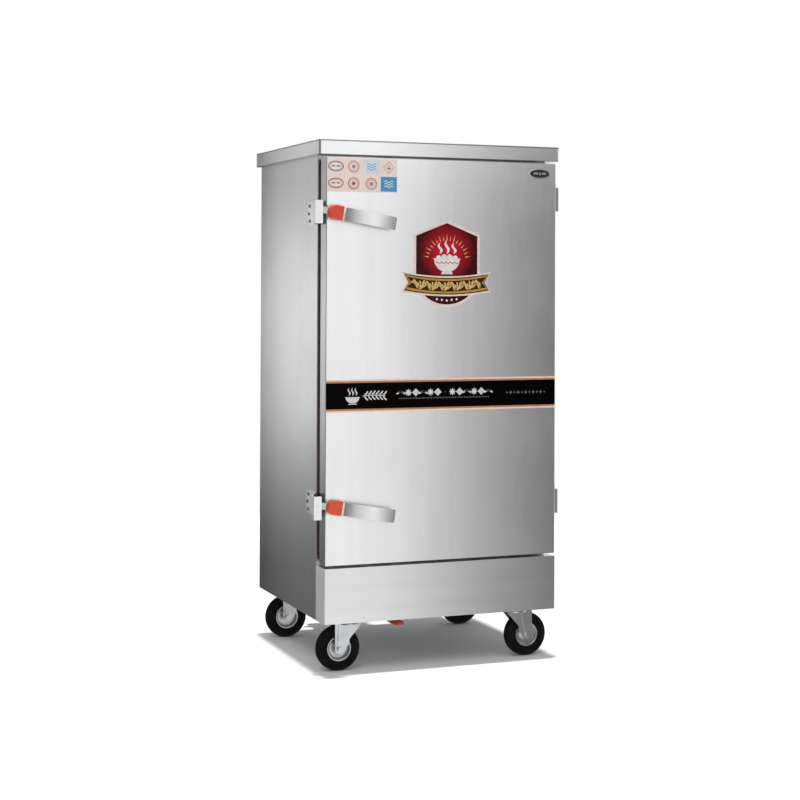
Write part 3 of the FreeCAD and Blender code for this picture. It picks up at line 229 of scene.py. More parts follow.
def cutFoam(name, colour):
    material, tree, shader, place = startMaterial(name)
    cells = noise(tree, place, 260.0, 5.0, 0.7)
    porous = blendColours(tree, between(tree, cells, 0, 1), dimmed(colour, 0.7), colour)
    coat(tree, shader, porous, between(tree, cells, 0.8, 0.95))
    raiseRelief(tree, shader, cells, 0.5, 0.001)
    return material


def primerPaint(name, colour):
    material, tree, shader, place = startMaterial(name)
    peel = noise(tree, place, 300.0, 2.0)
    patch = noise(tree, place, 8.0, 4.0)
    patchy = blendColours(tree, between(tree, patch, 0, 1), dimmed(colour, 0.8), colour)
    coat(tree, shader, patchy, between(tree, patch, 0.42, 0.6))
    raiseRelief(tree, shader, peel, 0.15, 0.0004)
    return material


# The grain runs up the door and the shell, and from side to side on the other sheets
steelLook = {
    "door": {"colour": (0.935, 0.935, 0.94), "roughness": 0.33, "grain": (520, 520, 9)},
    "shell": {"colour": (0.83, 0.835, 0.84), "roughness": 0.34, "grain": (520, 520, 9)},
    "apron": {"colour": (0.86, 0.86, 0.865), "roughness": 0.34, "grain": (9, 520, 520)},
    "cover": {"colour": (0.90, 0.90, 0.905), "roughness": 0.30, "grain": (9, 520, 520)},
    "inner": {"colour": (0.76, 0.77, 0.78), "roughness": 0.24, "grain": (9, 520, 520)},
    "tray": {"colour": (0.80, 0.80, 0.81), "roughness": 0.20, "grain": (9, 400, 400)},
    "boxes": {"colour": (0.70, 0.71, 0.72), "roughness": 0.36, "grain": (9, 520, 520)},
    "bracket": {"colour": (0.86, 0.86, 0.86), "roughness": 0.30, "grain": (300, 300, 30), "haze": 0.25},
    "hinge": {"colour": (0.46, 0.46, 0.47), "roughness": 0.34, "grain": (300, 300, 30)},
    "heater": {"colour": (0.36, 0.33, 0.31), "roughness": 0.42, "grain": (300, 20, 300)},
}
finish = {kind: brushedSteel(kind + "Steel", **look) for kind, look in steelLook.items()}


# A finish's nodes, its shader and the place along one axis
def placeAlong(material, axis):
    tree = material.node_tree
    place = next(node for node in tree.nodes if node.type == "TEX_COORD").outputs["Object"]
    shader = next(node for node in tree.nodes if node.type == "BSDF_PRINCIPLED")
    return tree, shader, alongAxis(tree, place, axis)


# Painted light: steel made partly non-metallic by place so that it reads lighter, through pairs of place and
# how much of it stays metallic
def paintedLightByPlace(material, axis, stops):
    tree, shader, place = placeAlong(material, axis)
    tree.links.new(gradient(tree, place, stops), shader.inputs["Metallic"])


# Painted shade: darker metal by place, through pairs of place and share of its colour
def paintedShade(material, axis, stops):
    tree, shader, place = placeAlong(material, axis)
    darker = tree.nodes.new("ShaderNodeVectorMath")
    darker.operation = "SCALE"
    tree.links.new(shader.inputs["Base Color"].links[0].from_socket, darker.inputs[0])
    tree.links.new(gradient(tree, place, stops), darker.inputs["Scale"])
    tree.links.new(darker.outputs[0], shader.inputs["Base Color"])


# Painted shade and painted reflection on folds, rims and sides that turn away from the light and on the lever
# blade, and painted light on the apron's side face, as distances from the sheet's edge and shares
paintedLightAndShade = {
    "doorSide": [(0.0010, 0.68), (0.0014, 1.0)],
    "apronSide": [(0.0003, 0.62), (0.0020, 1.0)],
    "coverFoot": [(0.0008, 0.45), (0.0020, 1.0)],
    "coverRim": [(-0.0046, 1.0), (-0.0036, 0.35), (-0.0006, 0.35), (-0.0002, 1.0)],
    "leverBlade": [(-0.135, 0.60), (-0.065, 1.0), (-0.020, 1.0), (-0.003, 0.50)],
}


def stopsFrom(edge, kind):
    return [(edge + away, share) for away, share in paintedLightAndShade[kind]]


coverFoot, coverTop = [corner.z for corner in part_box("top_cover")]
# Painted shade on the door's side face, on the cover's foot and on a band just under the cover's top rim
paintedShade(finish["door"], "X", stopsFrom(doorLow.x, "doorSide"))
paintedShade(finish["cover"], "Z", stopsFrom(coverFoot, "coverFoot") + stopsFrom(coverTop, "coverRim"))
# Painted light on the apron's side face, through less metallic steel there
paintedLightByPlace(finish["apron"], "X", stopsFrom(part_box("lower_front_panel")[0].x, "apronSide"))

finish.update({
    "chrome": polishedMetal("leverChrome", (0.92, 0.92, 0.93), 0.20, 0.08),
    "badgePlate": polishedMetal("badgePlate", (0.86, 0.86, 0.87), 0.22, 0.08),
    "zinc": zincPlate("casterZinc", (0.74, 0.75, 0.77), 0.30),
    # The rims wear a darker copy of the caster zinc, as painted shade
    "shadowedRimZinc": zincPlate("shadowedRimZinc", (0.60, 0.61, 0.62), 0.30),
    "screwZinc": zincPlate("screwZinc", (0.20, 0.20, 0.21), 0.36),
    "tyre": rubber("tyreRubber", (0.005, 0.005, 0.006), (0.016, 0.015, 0.015), 0.62, 380.0, 0.06),
    "gasket": rubber("gasketRubber", (0.030, 0.010, 0.009), (0.06, 0.035, 0.03), 0.6, 300.0),
    "red": mouldedPlastic("orangeRedPlastic", (0.68, 0.060, 0.020), 0.30, (0.58, 0.075, 0.035)),
    "cream": mouldedPlastic("creamCollar", (0.80, 0.66, 0.50), 0.40, (0.66, 0.53, 0.40)),
    "black": mouldedPlastic("blackPlastic", (0.02, 0.02, 0.022), 0.45, (0.05, 0.05, 0.05)),
    "brass": polishedMetal("valveBrass", (0.72, 0.55, 0.28), 0.26, 0.1),
    "foam": cutFoam("wallFoam", (0.84, 0.76, 0.52)),
    "primer": primerPaint("chassisPrimer", (0.30, 0.31, 0.32)),
})
# Painted reflection: the lever blade's chrome darker towards the pivot and at its tip
paintedShade(finish["chrome"], "X", stopsFrom(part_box("upper_latch_lever")[1].x, "leverBlade"))
print("finishes made")

# CAD nodes by finish
dressing = {
    "door": ["door_skin"],
    "shell": ["left_side_panel", "right_side_panel", "back_panel", "mouth_frame"],
    "apron": ["lower_front_panel"],
    "cover": ["top_cover"],
    "inner": ["chamber_liner", "door_inner_panel", "tray_racks", "water_tank", "steam_baffle"],
    "tray": ["rice_tray_%02d" % k for k in range(1, 13)],
    "boxes": ["supply_box", "supply_box_lid", "terminal_box", "steam_vent"],
    "bracket": ["latch_keepers", "latch_bases"],
    "hinge": ["hinge_body_leaves", "hinge_door_leaves"],
    "heater": ["heating_elements"],
    "chrome": ["upper_latch_lever", "lower_latch_lever"],
    "zinc": ["caster_plates"] + [c + "_caster_fork" for c in corners],
    "shadowedRimZinc": [c + "_wheel_rim" for c in corners],
    "screwZinc": ["body_screws"],
    "tyre": [c + "_tyre" for c in corners],
    "gasket": ["door_gasket"],
    "red": ["upper_latch_grip", "lower_latch_grip"],
    "black": ["cable_gland"],
    "brass": ["float_valve", "float_arm", "drain_valve"],
    "foam": ["insulation", "door_foam"],
    "primer": ["base_frame"],
}


def dress(node, material):
    slots = frame["nodes"][node].data.materials
    slots.clear()
    slots.append(material)


for kind, nodes in dressing.items():
    for node in nodes:
        dress(node, finish[kind])

drainSleeve = {"length": 0.0692, "red": (0.70, 0.06, 0.03), "plated": (0.74, 0.75, 0.77)}


# Plated lever whose front stretch is inside a red sleeve
def sleevedLever():
    look = drainSleeve
    material, tree, shader, place = startMaterial("sleevedLever")
    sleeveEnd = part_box("drain_lever")[0].y + look["length"]
    inSleeve = combine(tree, alongAxis(tree, place, "Y"), sleeveEnd, "LESS_THAN")
    grime = noise(tree, place, 40.0, 4.0)
    red = blendColours(tree, between(tree, grime, 0, 0.5), look["red"], dimmed(look["red"], 0.6))
    plated = blendColours(tree, between(tree, grime, 0, 1), look["plated"], dimmed(look["plated"], 0.8))
    coat(tree, shader, blendColours(tree, inSleeve, plated, red), between(tree, grime, 0.3, 0.45))
    tree.links.new(combine(tree, 1.0, inSleeve, "SUBTRACT"), shader.inputs["Metallic"])
    return material


dress("drain_lever", sleevedLever())
print("nodes dressed")


# Mesh helpers
def addObject(name, data):
    added = bpy.data.objects.new(name, data)
    bpy.context.scene.collection.objects.link(added)
    return added


# Object from a finished bmesh, riding on its body
def meshPiece(name, bm, material, body, smooth=False):
    mesh = bpy.data.meshes.new(name)
    bm.to_mesh(mesh)
    bm.free()
    piece = addObject(name, mesh)
    mesh.materials.append(material)
    for face in mesh.polygons:
        face.use_smooth = smooth
    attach(piece, body)
    return piece


# Prism over an outline of x, z points between two y planes
def addPlate(bm, outline, back, front):
    nearSide = [bm.verts.new((x, front, z)) for x, z in outline]
    farSide = [bm.verts.new((x, back, z)) for x, z in outline]
    bm.faces.new(nearSide)
    bm.faces.new(list(reversed(farSide)))
    count = len(outline)
    for k in range(count):
        n = (k + 1) % count
        bm.faces.new((nearSide[n], nearSide[k], farSide[k], farSide[n]))


# Flat ring between two outlines with the same number of points
def addRing(bm, outer, inner, back, front):
    count = len(outer)
    lines = ((outer, front), (inner, front), (inner, back), (outer, back))
    loops = [[bm.verts.new((x, y, z)) for x, z in line] for line, y in lines]
    for k in range(count):
        n = (k + 1) % count
        for a, b in zip(loops, loops[1:] + loops[:1]):
            bm.faces.new((a[k], a[n], b[n], b[k]))


# Printed or cut flat shapes on the door's front, lift above the sheet
def flatPiece(name, plates, material, lift, thickness, rings=()):
    bm = bmesh.new()
    for outline in plates:
        addPlate(bm, outline, doorFront - lift, doorFront - lift - thickness)
    for outer, inner in rings:
        addRing(bm, outer, inner, doorFront - lift, doorFront - lift - thickness)
    bmesh.ops.recalc_face_normals(bm, faces=bm.faces)
    return meshPiece(name, bm, material, "door")


# A point px, pz away from x, z, turned about it
def turnedPoint(x, z, px, pz, turn):
    c, s = math.cos(turn), math.sin(turn)
    return x + px * c - pz * s, z + px * s + pz * c


def ellipse(x, z, halfWidth, halfHeight, count=40):
    angles = [2 * math.pi * k / count for k in range(count)]
    return [(x + halfWidth * math.cos(a), z + halfHeight * math.sin(a)) for a in angles]


def disc(x, z, radius, count=40):
    return ellipse(x, z, radius, radius, count)


def rectangle(x0, x1, z0, z1):
    return [(x0, z0), (x1, z0), (x1, z1), (x0, z1)]


def star(x, z, radius, arms=5, waist=0.45):
    points = []
    for k in range(arms * 2):
        r = radius if k % 2 == 0 else radius * waist
        a = math.pi / 2 + math.pi * k / arms
        points.append((x + r * math.cos(a), z + r * math.sin(a)))
    return points


# Pointed oval, tip up before it is turned
def leaf(x, z, length, width, turn, count=24):
    points = []
    for k in range(count):
        a = 2 * math.pi * k / count
        px = width / 2 * math.sin(a) * abs(math.cos(a / 2 - math.pi / 4)) ** 0.2
        points.append(turnedPoint(x, z, px, -length / 2 * math.cos(a), turn))
    return points


# Band along a sine line
def wave(x0, x1, z, rise, thick, count=24, turns=1.0):
    top, bottom = [], []
    for k in range(count + 1):
        x = x0 + (x1 - x0) * k / count
        mid = z + rise * math.sin(2 * math.pi * turns * k / count)
        top.append((x, mid + thick / 2))
        bottom.append((x, mid - thick / 2))
    return bottom + list(reversed(top))


# Upright wisp of steam, thin at both ends
def steam(x, z, height, sway, thick, count=16):
    left, right = [], []
    for k in range(count + 1):
        t = k / count
        w = thick * math.sin(math.pi * min(1.0, t * 0.9 + 0.1)) / 2 + thick * 0.06
        mid = x + sway * math.sin(2 * math.pi * t)
        left.append((mid - w, z + height * t))
        right.append((mid + w, z + height * t))
    return right + list(reversed(left))


# Side view of a bowl, rim at z
def halfBowl(x, z, radius, depth, rim=0.0014, count=18):
    points = [(x - radius, z), (x - radius, z - rim)]
    for k in range(count + 1):
        a = math.pi + math.pi * k / count
        points.append((x + radius * 0.93 * math.cos(a), z - rim + depth * math.sin(a)))
    points += [(x + radius, z - rim), (x + radius, z)]
    return points


# Lathe: profile holds radius and height pairs along axis from the place at
def turnedPiece(name, profile, at, axis, material, body, closed=False, segments=48):
    bm = bmesh.new()
    turnTo = Vector(axis).to_track_quat("Z", "Y").to_matrix()
    angles = [2 * math.pi * k / segments for k in range(segments)]
    rows = []
    for radius, height in profile:
        rim = [Vector((radius * math.cos(a), radius * math.sin(a), height)) for a in angles]
        if radius < 1e-6:                                           # the profile ends on the axis
            rim = [Vector((0, 0, height))]
        rows.append([bm.verts.new(Vector(at) + turnTo @ point) for point in rim])
    for low, high in zip(rows, rows[1:] + rows[:1] if closed else rows[1:]):
        for k in range(segments):
            n = (k + 1) % segments
            if len(low) == 1:
                bm.faces.new((low[0], high[n], high[k]))
            elif len(high) == 1:
                bm.faces.new((low[k], low[n], high[0]))
            else:
                bm.faces.new((low[k], low[n], high[n], high[k]))
    bmesh.ops.recalc_face_normals(bm, faces=bm.faces)
    return meshPiece(name, bm, material, body, smooth=True)


def softenEdges(piece, width, segments=2, angle=35):
    bevel = piece.modifiers.new("soften", "BEVEL")
    bevel.width = width
    bevel.segments = segments
    bevel.limit_method = "ANGLE"
    bevel.angle_limit = math.radians(angle)


# Smooth shading on curves, creases kept
def keepSharp(piece, angle=32):
    for edge in piece.data.edges:
        edge.use_edge_sharp = False
    bm = bmesh.new()
    bm.from_mesh(piece.data)
    for edge in bm.edges:
        if len(edge.link_faces) == 2 and edge.calc_face_angle(0) > math.radians(angle):
            edge.smooth = False
    bm.to_mesh(piece.data)
    bm.free()


# Wheels
# tyreSide and rimSide: distance from the rim's radius and share of half the width. hubFoot: radius and height
wheelLook = {
    "tyreSide": [(0.0, 0.80), (0.0020, 0.96), (0.0050, 1.0), (0.0110, 0.985), (0.0122, 0.945), (0.0142, 0.945),
                 (0.0154, 0.975), (0.0215, 0.90), (0.0250, 0.78), (0.0268, 0.64), (0.0278, 0.50)],
    "tyreDepth": 0.028,
    "groovePlaces": (0.34, 0.0, -0.34), "grooveHalf": 0.045, "grooveFoot": 0.7, "grooveDepth": 0.0016,
    "rimSide": [(0.0, 0.93), (-0.0022, 0.93), (-0.0040, 0.84), (-0.0050, 0.42), (-0.0085, 0.24),
                (-0.0150, 0.20)],
    "hubFoot": [(0.0150, 0.0052), (0.0125, 0.0066)],
    "hubRadius": 0.0118, "hubRounding": 0.0012, "hubFace": 0.0108, "axleHole": 0.0053,
    "segments": 72,
}


def treadGrooves(outer, half):
    foot = outer - wheelLook["grooveDepth"]
    edge = wheelLook["grooveHalf"]
    low = edge * wheelLook["grooveFoot"]
    points = []
    for place in wheelLook["groovePlaces"]:
        points += [(outer, (place + edge) * half), (foot, (place + low) * half),
                   (foot, (place - low) * half), (outer, (place - edge) * half)]
    return points


# A turned piece of a wheel, with its creases kept
def wheelPiece(corner, name, profile, centre, material):
    body = corner + "_wheel"
    piece = turnedPiece(corner + name, profile, centre, (0, 1, 0), material, body, True, wheelLook["segments"])
    keepSharp(piece)
    return piece


def dressWheel(corner):
    look = wheelLook
    low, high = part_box(corner + "_tyre")
    rimLow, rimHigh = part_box(corner + "_wheel_rim")
    centre = (low + high) / 2
    outer, half = (high.z - low.z) / 2, (high.y - low.y) / 2
    inner, hubHalf = (rimHigh.z - rimLow.z) / 2, (rimHigh.y - rimLow.y) / 2
    rise = (outer - inner) / look["tyreDepth"]
    side = [(inner + away * rise, share * half) for away, share in look["tyreSide"]]
    profile = side + treadGrooves(outer, half) + [(r, -h) for r, h in reversed(side)]
    tyre = wheelPiece(corner, "_tyre_tread", profile, centre, finish["tyre"])
    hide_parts(corner + "_tyre")
    side = [(inner + away, share * half) for away, share in look["rimSide"]] + look["hubFoot"]
    side.append((look["hubRadius"], hubHalf - look["hubRounding"]))
    side += [(look["hubFace"], hubHalf), (look["axleHole"], hubHalf)]
    profile = side + [(r, -h) for r, h in reversed(side)]
    rim = wheelPiece(corner, "_pressed_rim", profile, centre, finish["shadowedRimZinc"])
    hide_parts(corner + "_wheel_rim")


for corner in corners:
    dressWheel(corner)

# Latches
joints = {joint["name"]: joint for joint in frame["joints"]}
collar = {
    "start": 0.0195, "end": 0.0285, "halfHeight": 0.0203, "proud": 0.0003, "back": 0.0035,
    "rounding": 0.0022, "droop": 9.8,
}


# Pale ring where the red grip ends on the blade
def buildCollar(latch):
    pivot = Vector(joints[latch + "_pivot"]["pos_m"])
    gripLow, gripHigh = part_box(latch + "_grip")
    bm = bmesh.new()
    bmesh.ops.create_cube(bm, size=1.0)
    front = gripLow.y + collar["proud"]
    back = gripHigh.y + collar["back"]
    for vert in bm.verts:
        x = collar["start"] if vert.co.x < 0 else collar["end"]
        vert.co = Vector((x, front if vert.co.y < 0 else back, math.copysign(collar["halfHeight"], vert.co.z)))
    bmesh.ops.bevel(bm, geom=bm.edges[:], offset=collar["rounding"], segments=3, affect="EDGES")
    turn = Matrix.Rotation(math.radians(collar["droop"]), 4, "Y")
    bm.transform(Matrix.Translation((pivot.x, 0, pivot.z)) @ turn)
    meshPiece(latch + "_grip_collar", bm, finish["cream"], latch, smooth=True)


for latch in ("upper_latch", "lower_latch"):
    buildCollar(latch)

# Rivets of the back panel, screws of the terminal box and the knob of the supply lid
fixing = {
    "radius": 0.0036, "height": 0.0018, "socket": 0.0015, "edge": 0.012, "sunk": 0.0001,
    "rivets": 6, "endGap": 0.05,
}
lidKnob = [(0.0065, 0.0), (0.0058, 0.0030), (0.0042, 0.0058), (0.0052, 0.0092), (0.0098, 0.0118),
           (0.0112, 0.0150), (0.0096, 0.0180), (0.0, 0.0192)]


def panHead(name, at):
    r, h, socket = fixing["radius"], fixing["height"], fixing["socket"]
    profile = [(r, 0.0), (r, h * 0.35), (r * 0.86, h * 0.72), (r * 0.6, h * 0.94), (socket, h),
               (socket * 0.9, h * 0.45), (0.0, h * 0.4)]
    turnedPiece(name, profile, at, (0, 1, 0), finish["screwZinc"], "cabinet", segments=20)


def placeFixings():
    edge, sunk, last = fixing["edge"], fixing["sunk"], fixing["rivets"] - 1
    low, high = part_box("back_panel")
    foot = low.z + fixing["endGap"]
    run = high.z - low.z - 2 * fixing["endGap"]
    for side, x in (("left", low.x + edge), ("right", high.x - edge)):
        for k in range(fixing["rivets"]):
            panHead("back_panel_rivet_%s_%d" % (side, k + 1), (x, high.y, foot + run * k / last))
    low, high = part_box("terminal_box")
    places = [(x, z) for x in (low.x + edge, high.x - edge) for z in (low.z + edge, high.z - edge)]
    for n, (x, z) in enumerate(places):
        panHead("terminal_lid_screw_%d" % (n + 1), (x, high.y - sunk, z))
    low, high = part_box("supply_box_lid")
    middle = (low + high) / 2
    seat = (middle.x, middle.y, high.z - sunk)
    turnedPiece("supply_lid_knob", lidKnob, seat, (0, 0, 1), finish["black"], "cabinet", segments=36)


placeFixings()
print("wheels, latches and fixings made")

# Door banner
# Places are measured from the door's middle and from the banner's middle line
banner = {
    "low": 0.7295, "high": 0.8010, "edgeLine": 0.0048, "glowLine": 0.00456, "sideGap": 0.001,
    "black": (0.0016, 0.0010, 0.0008), "amber": (0.50, 0.24, 0.12), "peach": (0.90, 0.72, 0.60),
    "white": (0.70, 0.70, 0.69), "grey": (0.16, 0.155, 0.15),
    "bowl": {"place": -0.271, "drop": 0.003, "radius": 0.0215, "depth": 0.016},
    "bowlFoot": {"half": 0.012, "low": 0.0235, "high": 0.0212},
    "steam": {"places": (-0.010, 0.0, 0.010), "rise": 0.0015, "height": 0.021, "sway": 0.0024, "thick": 0.0040},
    "sprig": {"start": 0.030, "end": 0.096, "drop": 0.001, "size": 0.024, "leaves": 6},
    "row": {"start": -0.128, "step": 0.0222, "rise": 0.0065, "count": 13, "dot": 0.0016,
            "grains": ((-0.0052, 0.0, 0.45), (0.0, 0.0012, 0.0), (0.0052, 0.0, -0.45)),
            "grainSize": (0.0185, 0.0062), "kernel": 0.0108, "diamond": 0.0058,
            "diamonds": ((0.0, 0.0052), (0.0, -0.0052), (-0.0056, 0.0), (0.0056, 0.0))},
    "beads": {"start": -0.133, "step": 0.0046, "drop": 0.0095, "count": 60, "half": 0.0015,
              "heights": (0.0013, 0.0022)},
    "smallStars": {"start": 0.196, "step": 0.0118, "rise": 0.001, "count": 11, "sizes": (0.0036, 0.0056)},
}


# Stem with leaves on both sides
def sprig(x0, x1, z, size):
    shapes = [wave(x0, x1, z, size * 0.10, size * 0.09, 30, 0.5)]
    count = banner["sprig"]["leaves"]
    for k in range(count):
        x = x0 + (x1 - x0) * (k + 0.6) / count
        rise = size * 0.10 * math.sin(math.pi * (k + 0.6) / count)
        shapes.append(leaf(x + size * 0.16, z + rise + size * 0.30, size * 0.62, size * 0.23, -0.75))
        shapes.append(leaf(x + size * 0.16, z + rise - size * 0.30, size * 0.62, size * 0.23, 0.75 + math.pi))
    return shapes


# Grains, eight-pointed kernels and diamonds by turns, with a dot half way
def bannerRow(middle):
    row = banner["row"]
    pale, dots = [], []
    z = middle + row["rise"]
    for k in range(row["count"]):
        x = doorMiddle + row["start"] + k * row["step"]
        if k == row["count"] // 2:
            dots.append(disc(x, z, row["dot"], 12))
        elif k % 3 == 0:
            pale += [leaf(x + dx, z + dz, *row["grainSize"], 1.571 + turn) for dx, dz, turn in row["grains"]]
        elif k % 3 == 1:
            pale.append(star(x, z, row["kernel"], 8, 0.55))
        else:
            pale += [star(x + dx, z + dz, row["diamond"], 4, 0.70) for dx, dz in row["diamonds"]]
    return pale, dots


def buildBanner():
    film = printedFilm("bannerBlack", banner["black"], dimmed(banner["black"], 1.6), 0.3, 0.02)
    tones = {tone: printedFilm("banner" + tone.capitalize(), banner[tone], dimmed(banner[tone], 0.86))
             for tone in ("amber", "peach", "white", "grey")}
    x0, x1 = doorLow.x + banner["sideGap"], doorHigh.x - banner["sideGap"]
    low, high, line, glow = banner["low"], banner["high"], banner["edgeLine"], banner["glowLine"]
    middle = (low + high) / 2
    flatPiece("banner_field", [rectangle(x0, x1, low, high)], film, lift=0.0001, thickness=0.0004)
    edges = [rectangle(x0, x1, high, high + line), rectangle(x0, x1, low - line, low)]
    flatPiece("banner_edges", edges, tones["amber"], lift=0.0001, thickness=0.0003)
    edges = [rectangle(x0, x1, high + line, high + line + glow),
             rectangle(x0, x1, low - line - glow, low - line)]
    flatPiece("banner_glow", edges, tones["peach"], lift=0.0001, thickness=0.0002)

    bowl, foot, wisp, stem = banner["bowl"], banner["bowlFoot"], banner["steam"], banner["sprig"]
    bowlX = doorMiddle + bowl["place"]
    pale = [halfBowl(bowlX, middle - bowl["drop"], bowl["radius"], bowl["depth"]),
            rectangle(bowlX - foot["half"], bowlX + foot["half"], middle - foot["low"], middle - foot["high"])]
    pale += [steam(bowlX + dx, middle + wisp["rise"], wisp["height"], wisp["sway"], wisp["thick"])
             for dx in wisp["places"]]
    pale += sprig(bowlX + stem["start"], bowlX + stem["end"], middle - stem["drop"], stem["size"])
    rowShapes, small = bannerRow(middle)
    beads, stars = banner["beads"], banner["smallStars"]
    small += [ellipse(doorMiddle + beads["start"] + k * beads["step"], middle - beads["drop"],
                      beads["half"], beads["heights"][k % 2], 8) for k in range(beads["count"])]
    small += [star(doorMiddle + stars["start"] + k * stars["step"], middle + stars["rise"],
                   stars["sizes"][k % 2], 4, 0.5) for k in range(stars["count"])]
    flatPiece("banner_pale_figures", pale + rowShapes, tones["white"], lift=0.0005, thickness=0.0002)
    flatPiece("banner_small_figures", small, tones["grey"], lift=0.0005, thickness=0.0002)


buildBanner()

# Sheet of small seals in four forms
sealSheet = {
    "left": -0.351, "right": -0.141, "low": 1.327, "high": 1.420, "columns": 4, "rows": 2,
    "sideGap": 0.001, "topGap": 0.0015,
    "paper": (0.93, 0.75, 0.70), "paperShade": (0.90, 0.78, 0.71), "red": (0.46, 0.09, 0.08),
    "rose": (0.56, 0.22, 0.17), "blue": (0.09, 0.34, 0.58), "paleBlue": (0.74, 0.84, 0.90),
    "white": (0.95, 0.88, 0.85), "grey": (0.20, 0.17, 0.16),
    "cells": [("oval", "grey"), ("round", "rose"), ("square", "paleBlue"), ("diamond", "white"),
              ("oval", "red"), ("round", "red"), ("round", "rose"), ("square", "blue")],
}
sealForms = {
    "oval": {"edge": (0.0225, 0.0145), "edgeInside": (0.0198, 0.0118), "line": (0.0180, 0.0102),
             "lineInside": (0.0170, 0.0092), "leafPlace": 0.0078, "leafSize": (0.0110, 0.0052), "dot": 0.0014},
    "round": {"edge": 0.0165, "edgeInside": 0.0142, "line": 0.0112, "lineInside": 0.0101, "star": 0.0080,
              "dots": 16, "dotPlace": 0.0127, "dot": 0.0008},
    "square": {"wide": 0.46, "tall": 0.44, "half": 0.013, "places": (-0.007, 0.0, 0.007),
               "rise": 0.0022, "thick": 0.0021},
    "diamond": {"edge": 0.0165, "edgeInside": 0.0146, "drop": 0.0002, "bowl": (0.0068, 0.005),
                "places": (-0.003, 0.0, 0.003), "rise": 0.0012, "steam": (0.0065, 0.0008, 0.0014)},
}


# Two leaves and a dot inside two rings
def ovalSeal(tone, x, z, ground, figure):
    look = sealForms["oval"]
    edge, inside, line, lineInside = [ellipse(x, z, *look[part])
                                      for part in ("edge", "edgeInside", "line", "lineInside")]
    ground["white"]["plates"].append(edge)
    figure[tone]["rings"].append((edge, inside))
    figure["rose"]["rings"].append((line, lineInside))
    figure[tone]["plates"] += [leaf(x + side * look["leafPlace"], z, *look["leafSize"], math.pi / 2)
                               for side in (-1, 1)]
    figure[tone]["plates"].append(disc(x, z, look["dot"], 12))


# A small star in a ring of dots
def roundSeal(tone, x, z, ground, figure):
    look = sealForms["round"]
    edge = disc(x, z, look["edge"])
    ground["white"]["plates"].append(edge)
    figure[tone]["rings"].append((edge, disc(x, z, look["edgeInside"])))
    figure[tone]["rings"].append((disc(x, z, look["line"]), disc(x, z, look["lineInside"])))
    figure[tone]["plates"].append(star(x, z, look["star"], 6 if tone == "rose" else 8, 0.5))
    away = look["dotPlace"]
    for n in range(look["dots"]):
        a = 2 * math.pi * n / look["dots"]
        figure[tone]["plates"].append(disc(x + away * math.cos(a), z + away * math.sin(a), look["dot"], 8))


# Three waves on a coloured square
def squareSeal(tone, x, z, ground, figure, stepX, stepZ):
    look = sealForms["square"]
    wide, tall = stepX * look["wide"], stepZ * look["tall"]
    ground[tone]["plates"].append(rectangle(x - wide, x + wide, z - tall, z + tall))
    ink = "white" if tone == "blue" else "blue"
    x0, x1 = x - look["half"], x + look["half"]
    waves = [wave(x0, x1, z + dz, look["rise"], look["thick"], 24, 1.5) for dz in look["places"]]
    figure[ink]["plates"] += waves


# A steaming bowl in a diamond
def diamondSeal(x, z, ground, figure):
    look = sealForms["diamond"]
    edge = disc(x, z, look["edge"], 4)                              # four points make the diamond
    ground["white"]["plates"].append(edge)
    figure["red"]["rings"].append((edge, disc(x, z, look["edgeInside"], 4)))
    figure["rose"]["plates"].append(halfBowl(x, z - look["drop"], *look["bowl"]))
    figure["rose"]["plates"] += [steam(x + dx, z + look["rise"], *look["steam"]) for dx in look["places"]]


def buildSealSheet():
    look = sealSheet
    x0, x1 = max(look["left"] + doorMiddle, doorLow.x + look["sideGap"]), look["right"] + doorMiddle
    z0, z1 = look["low"], min(look["high"], doorHigh.z - look["topGap"])
    paper = printedFilm("sealPaper", look["paper"], look["paperShade"])
    inks = {tone: printedFilm("seal" + tone.capitalize(), look[tone], dimmed(look[tone], 0.88))
            for tone in ("red", "rose", "blue", "paleBlue", "white", "grey")}
    flatPiece("seal_sheet", [rectangle(x0, x1, z0, z1)], paper, lift=0.0001, thickness=0.0003)
    stepX, stepZ = (x1 - x0) / look["columns"], (z1 - z0) / look["rows"]
    ground = {tone: {"plates": [], "rings": []} for tone in inks}
    figure = {tone: {"plates": [], "rings": []} for tone in inks}
    for k, (form, tone) in enumerate(look["cells"]):
        x = x0 + stepX * (k % look["columns"] + 0.5)
        z = z1 - stepZ * (k // look["columns"] + 0.5)
        if form == "oval":
            ovalSeal(tone, x, z, ground, figure)
        elif form == "round":
            roundSeal(tone, x, z, ground, figure)
        elif form == "square":
            squareSeal(tone, x, z, ground, figure, stepX, stepZ)
        else:
            diamondSeal(x, z, ground, figure)
    for layer, shapes, lift in (("ground", ground, 0.0004), ("figure", figure, 0.0005)):
        for tone, drawn in shapes.items():
            if drawn["plates"] or drawn["rings"]:
                name = "seal_%s_%s" % (layer, tone)
                flatPiece(name, drawn["plates"], inks[tone], lift, thickness=0.0001, rings=drawn["rings"])


buildSealSheet()

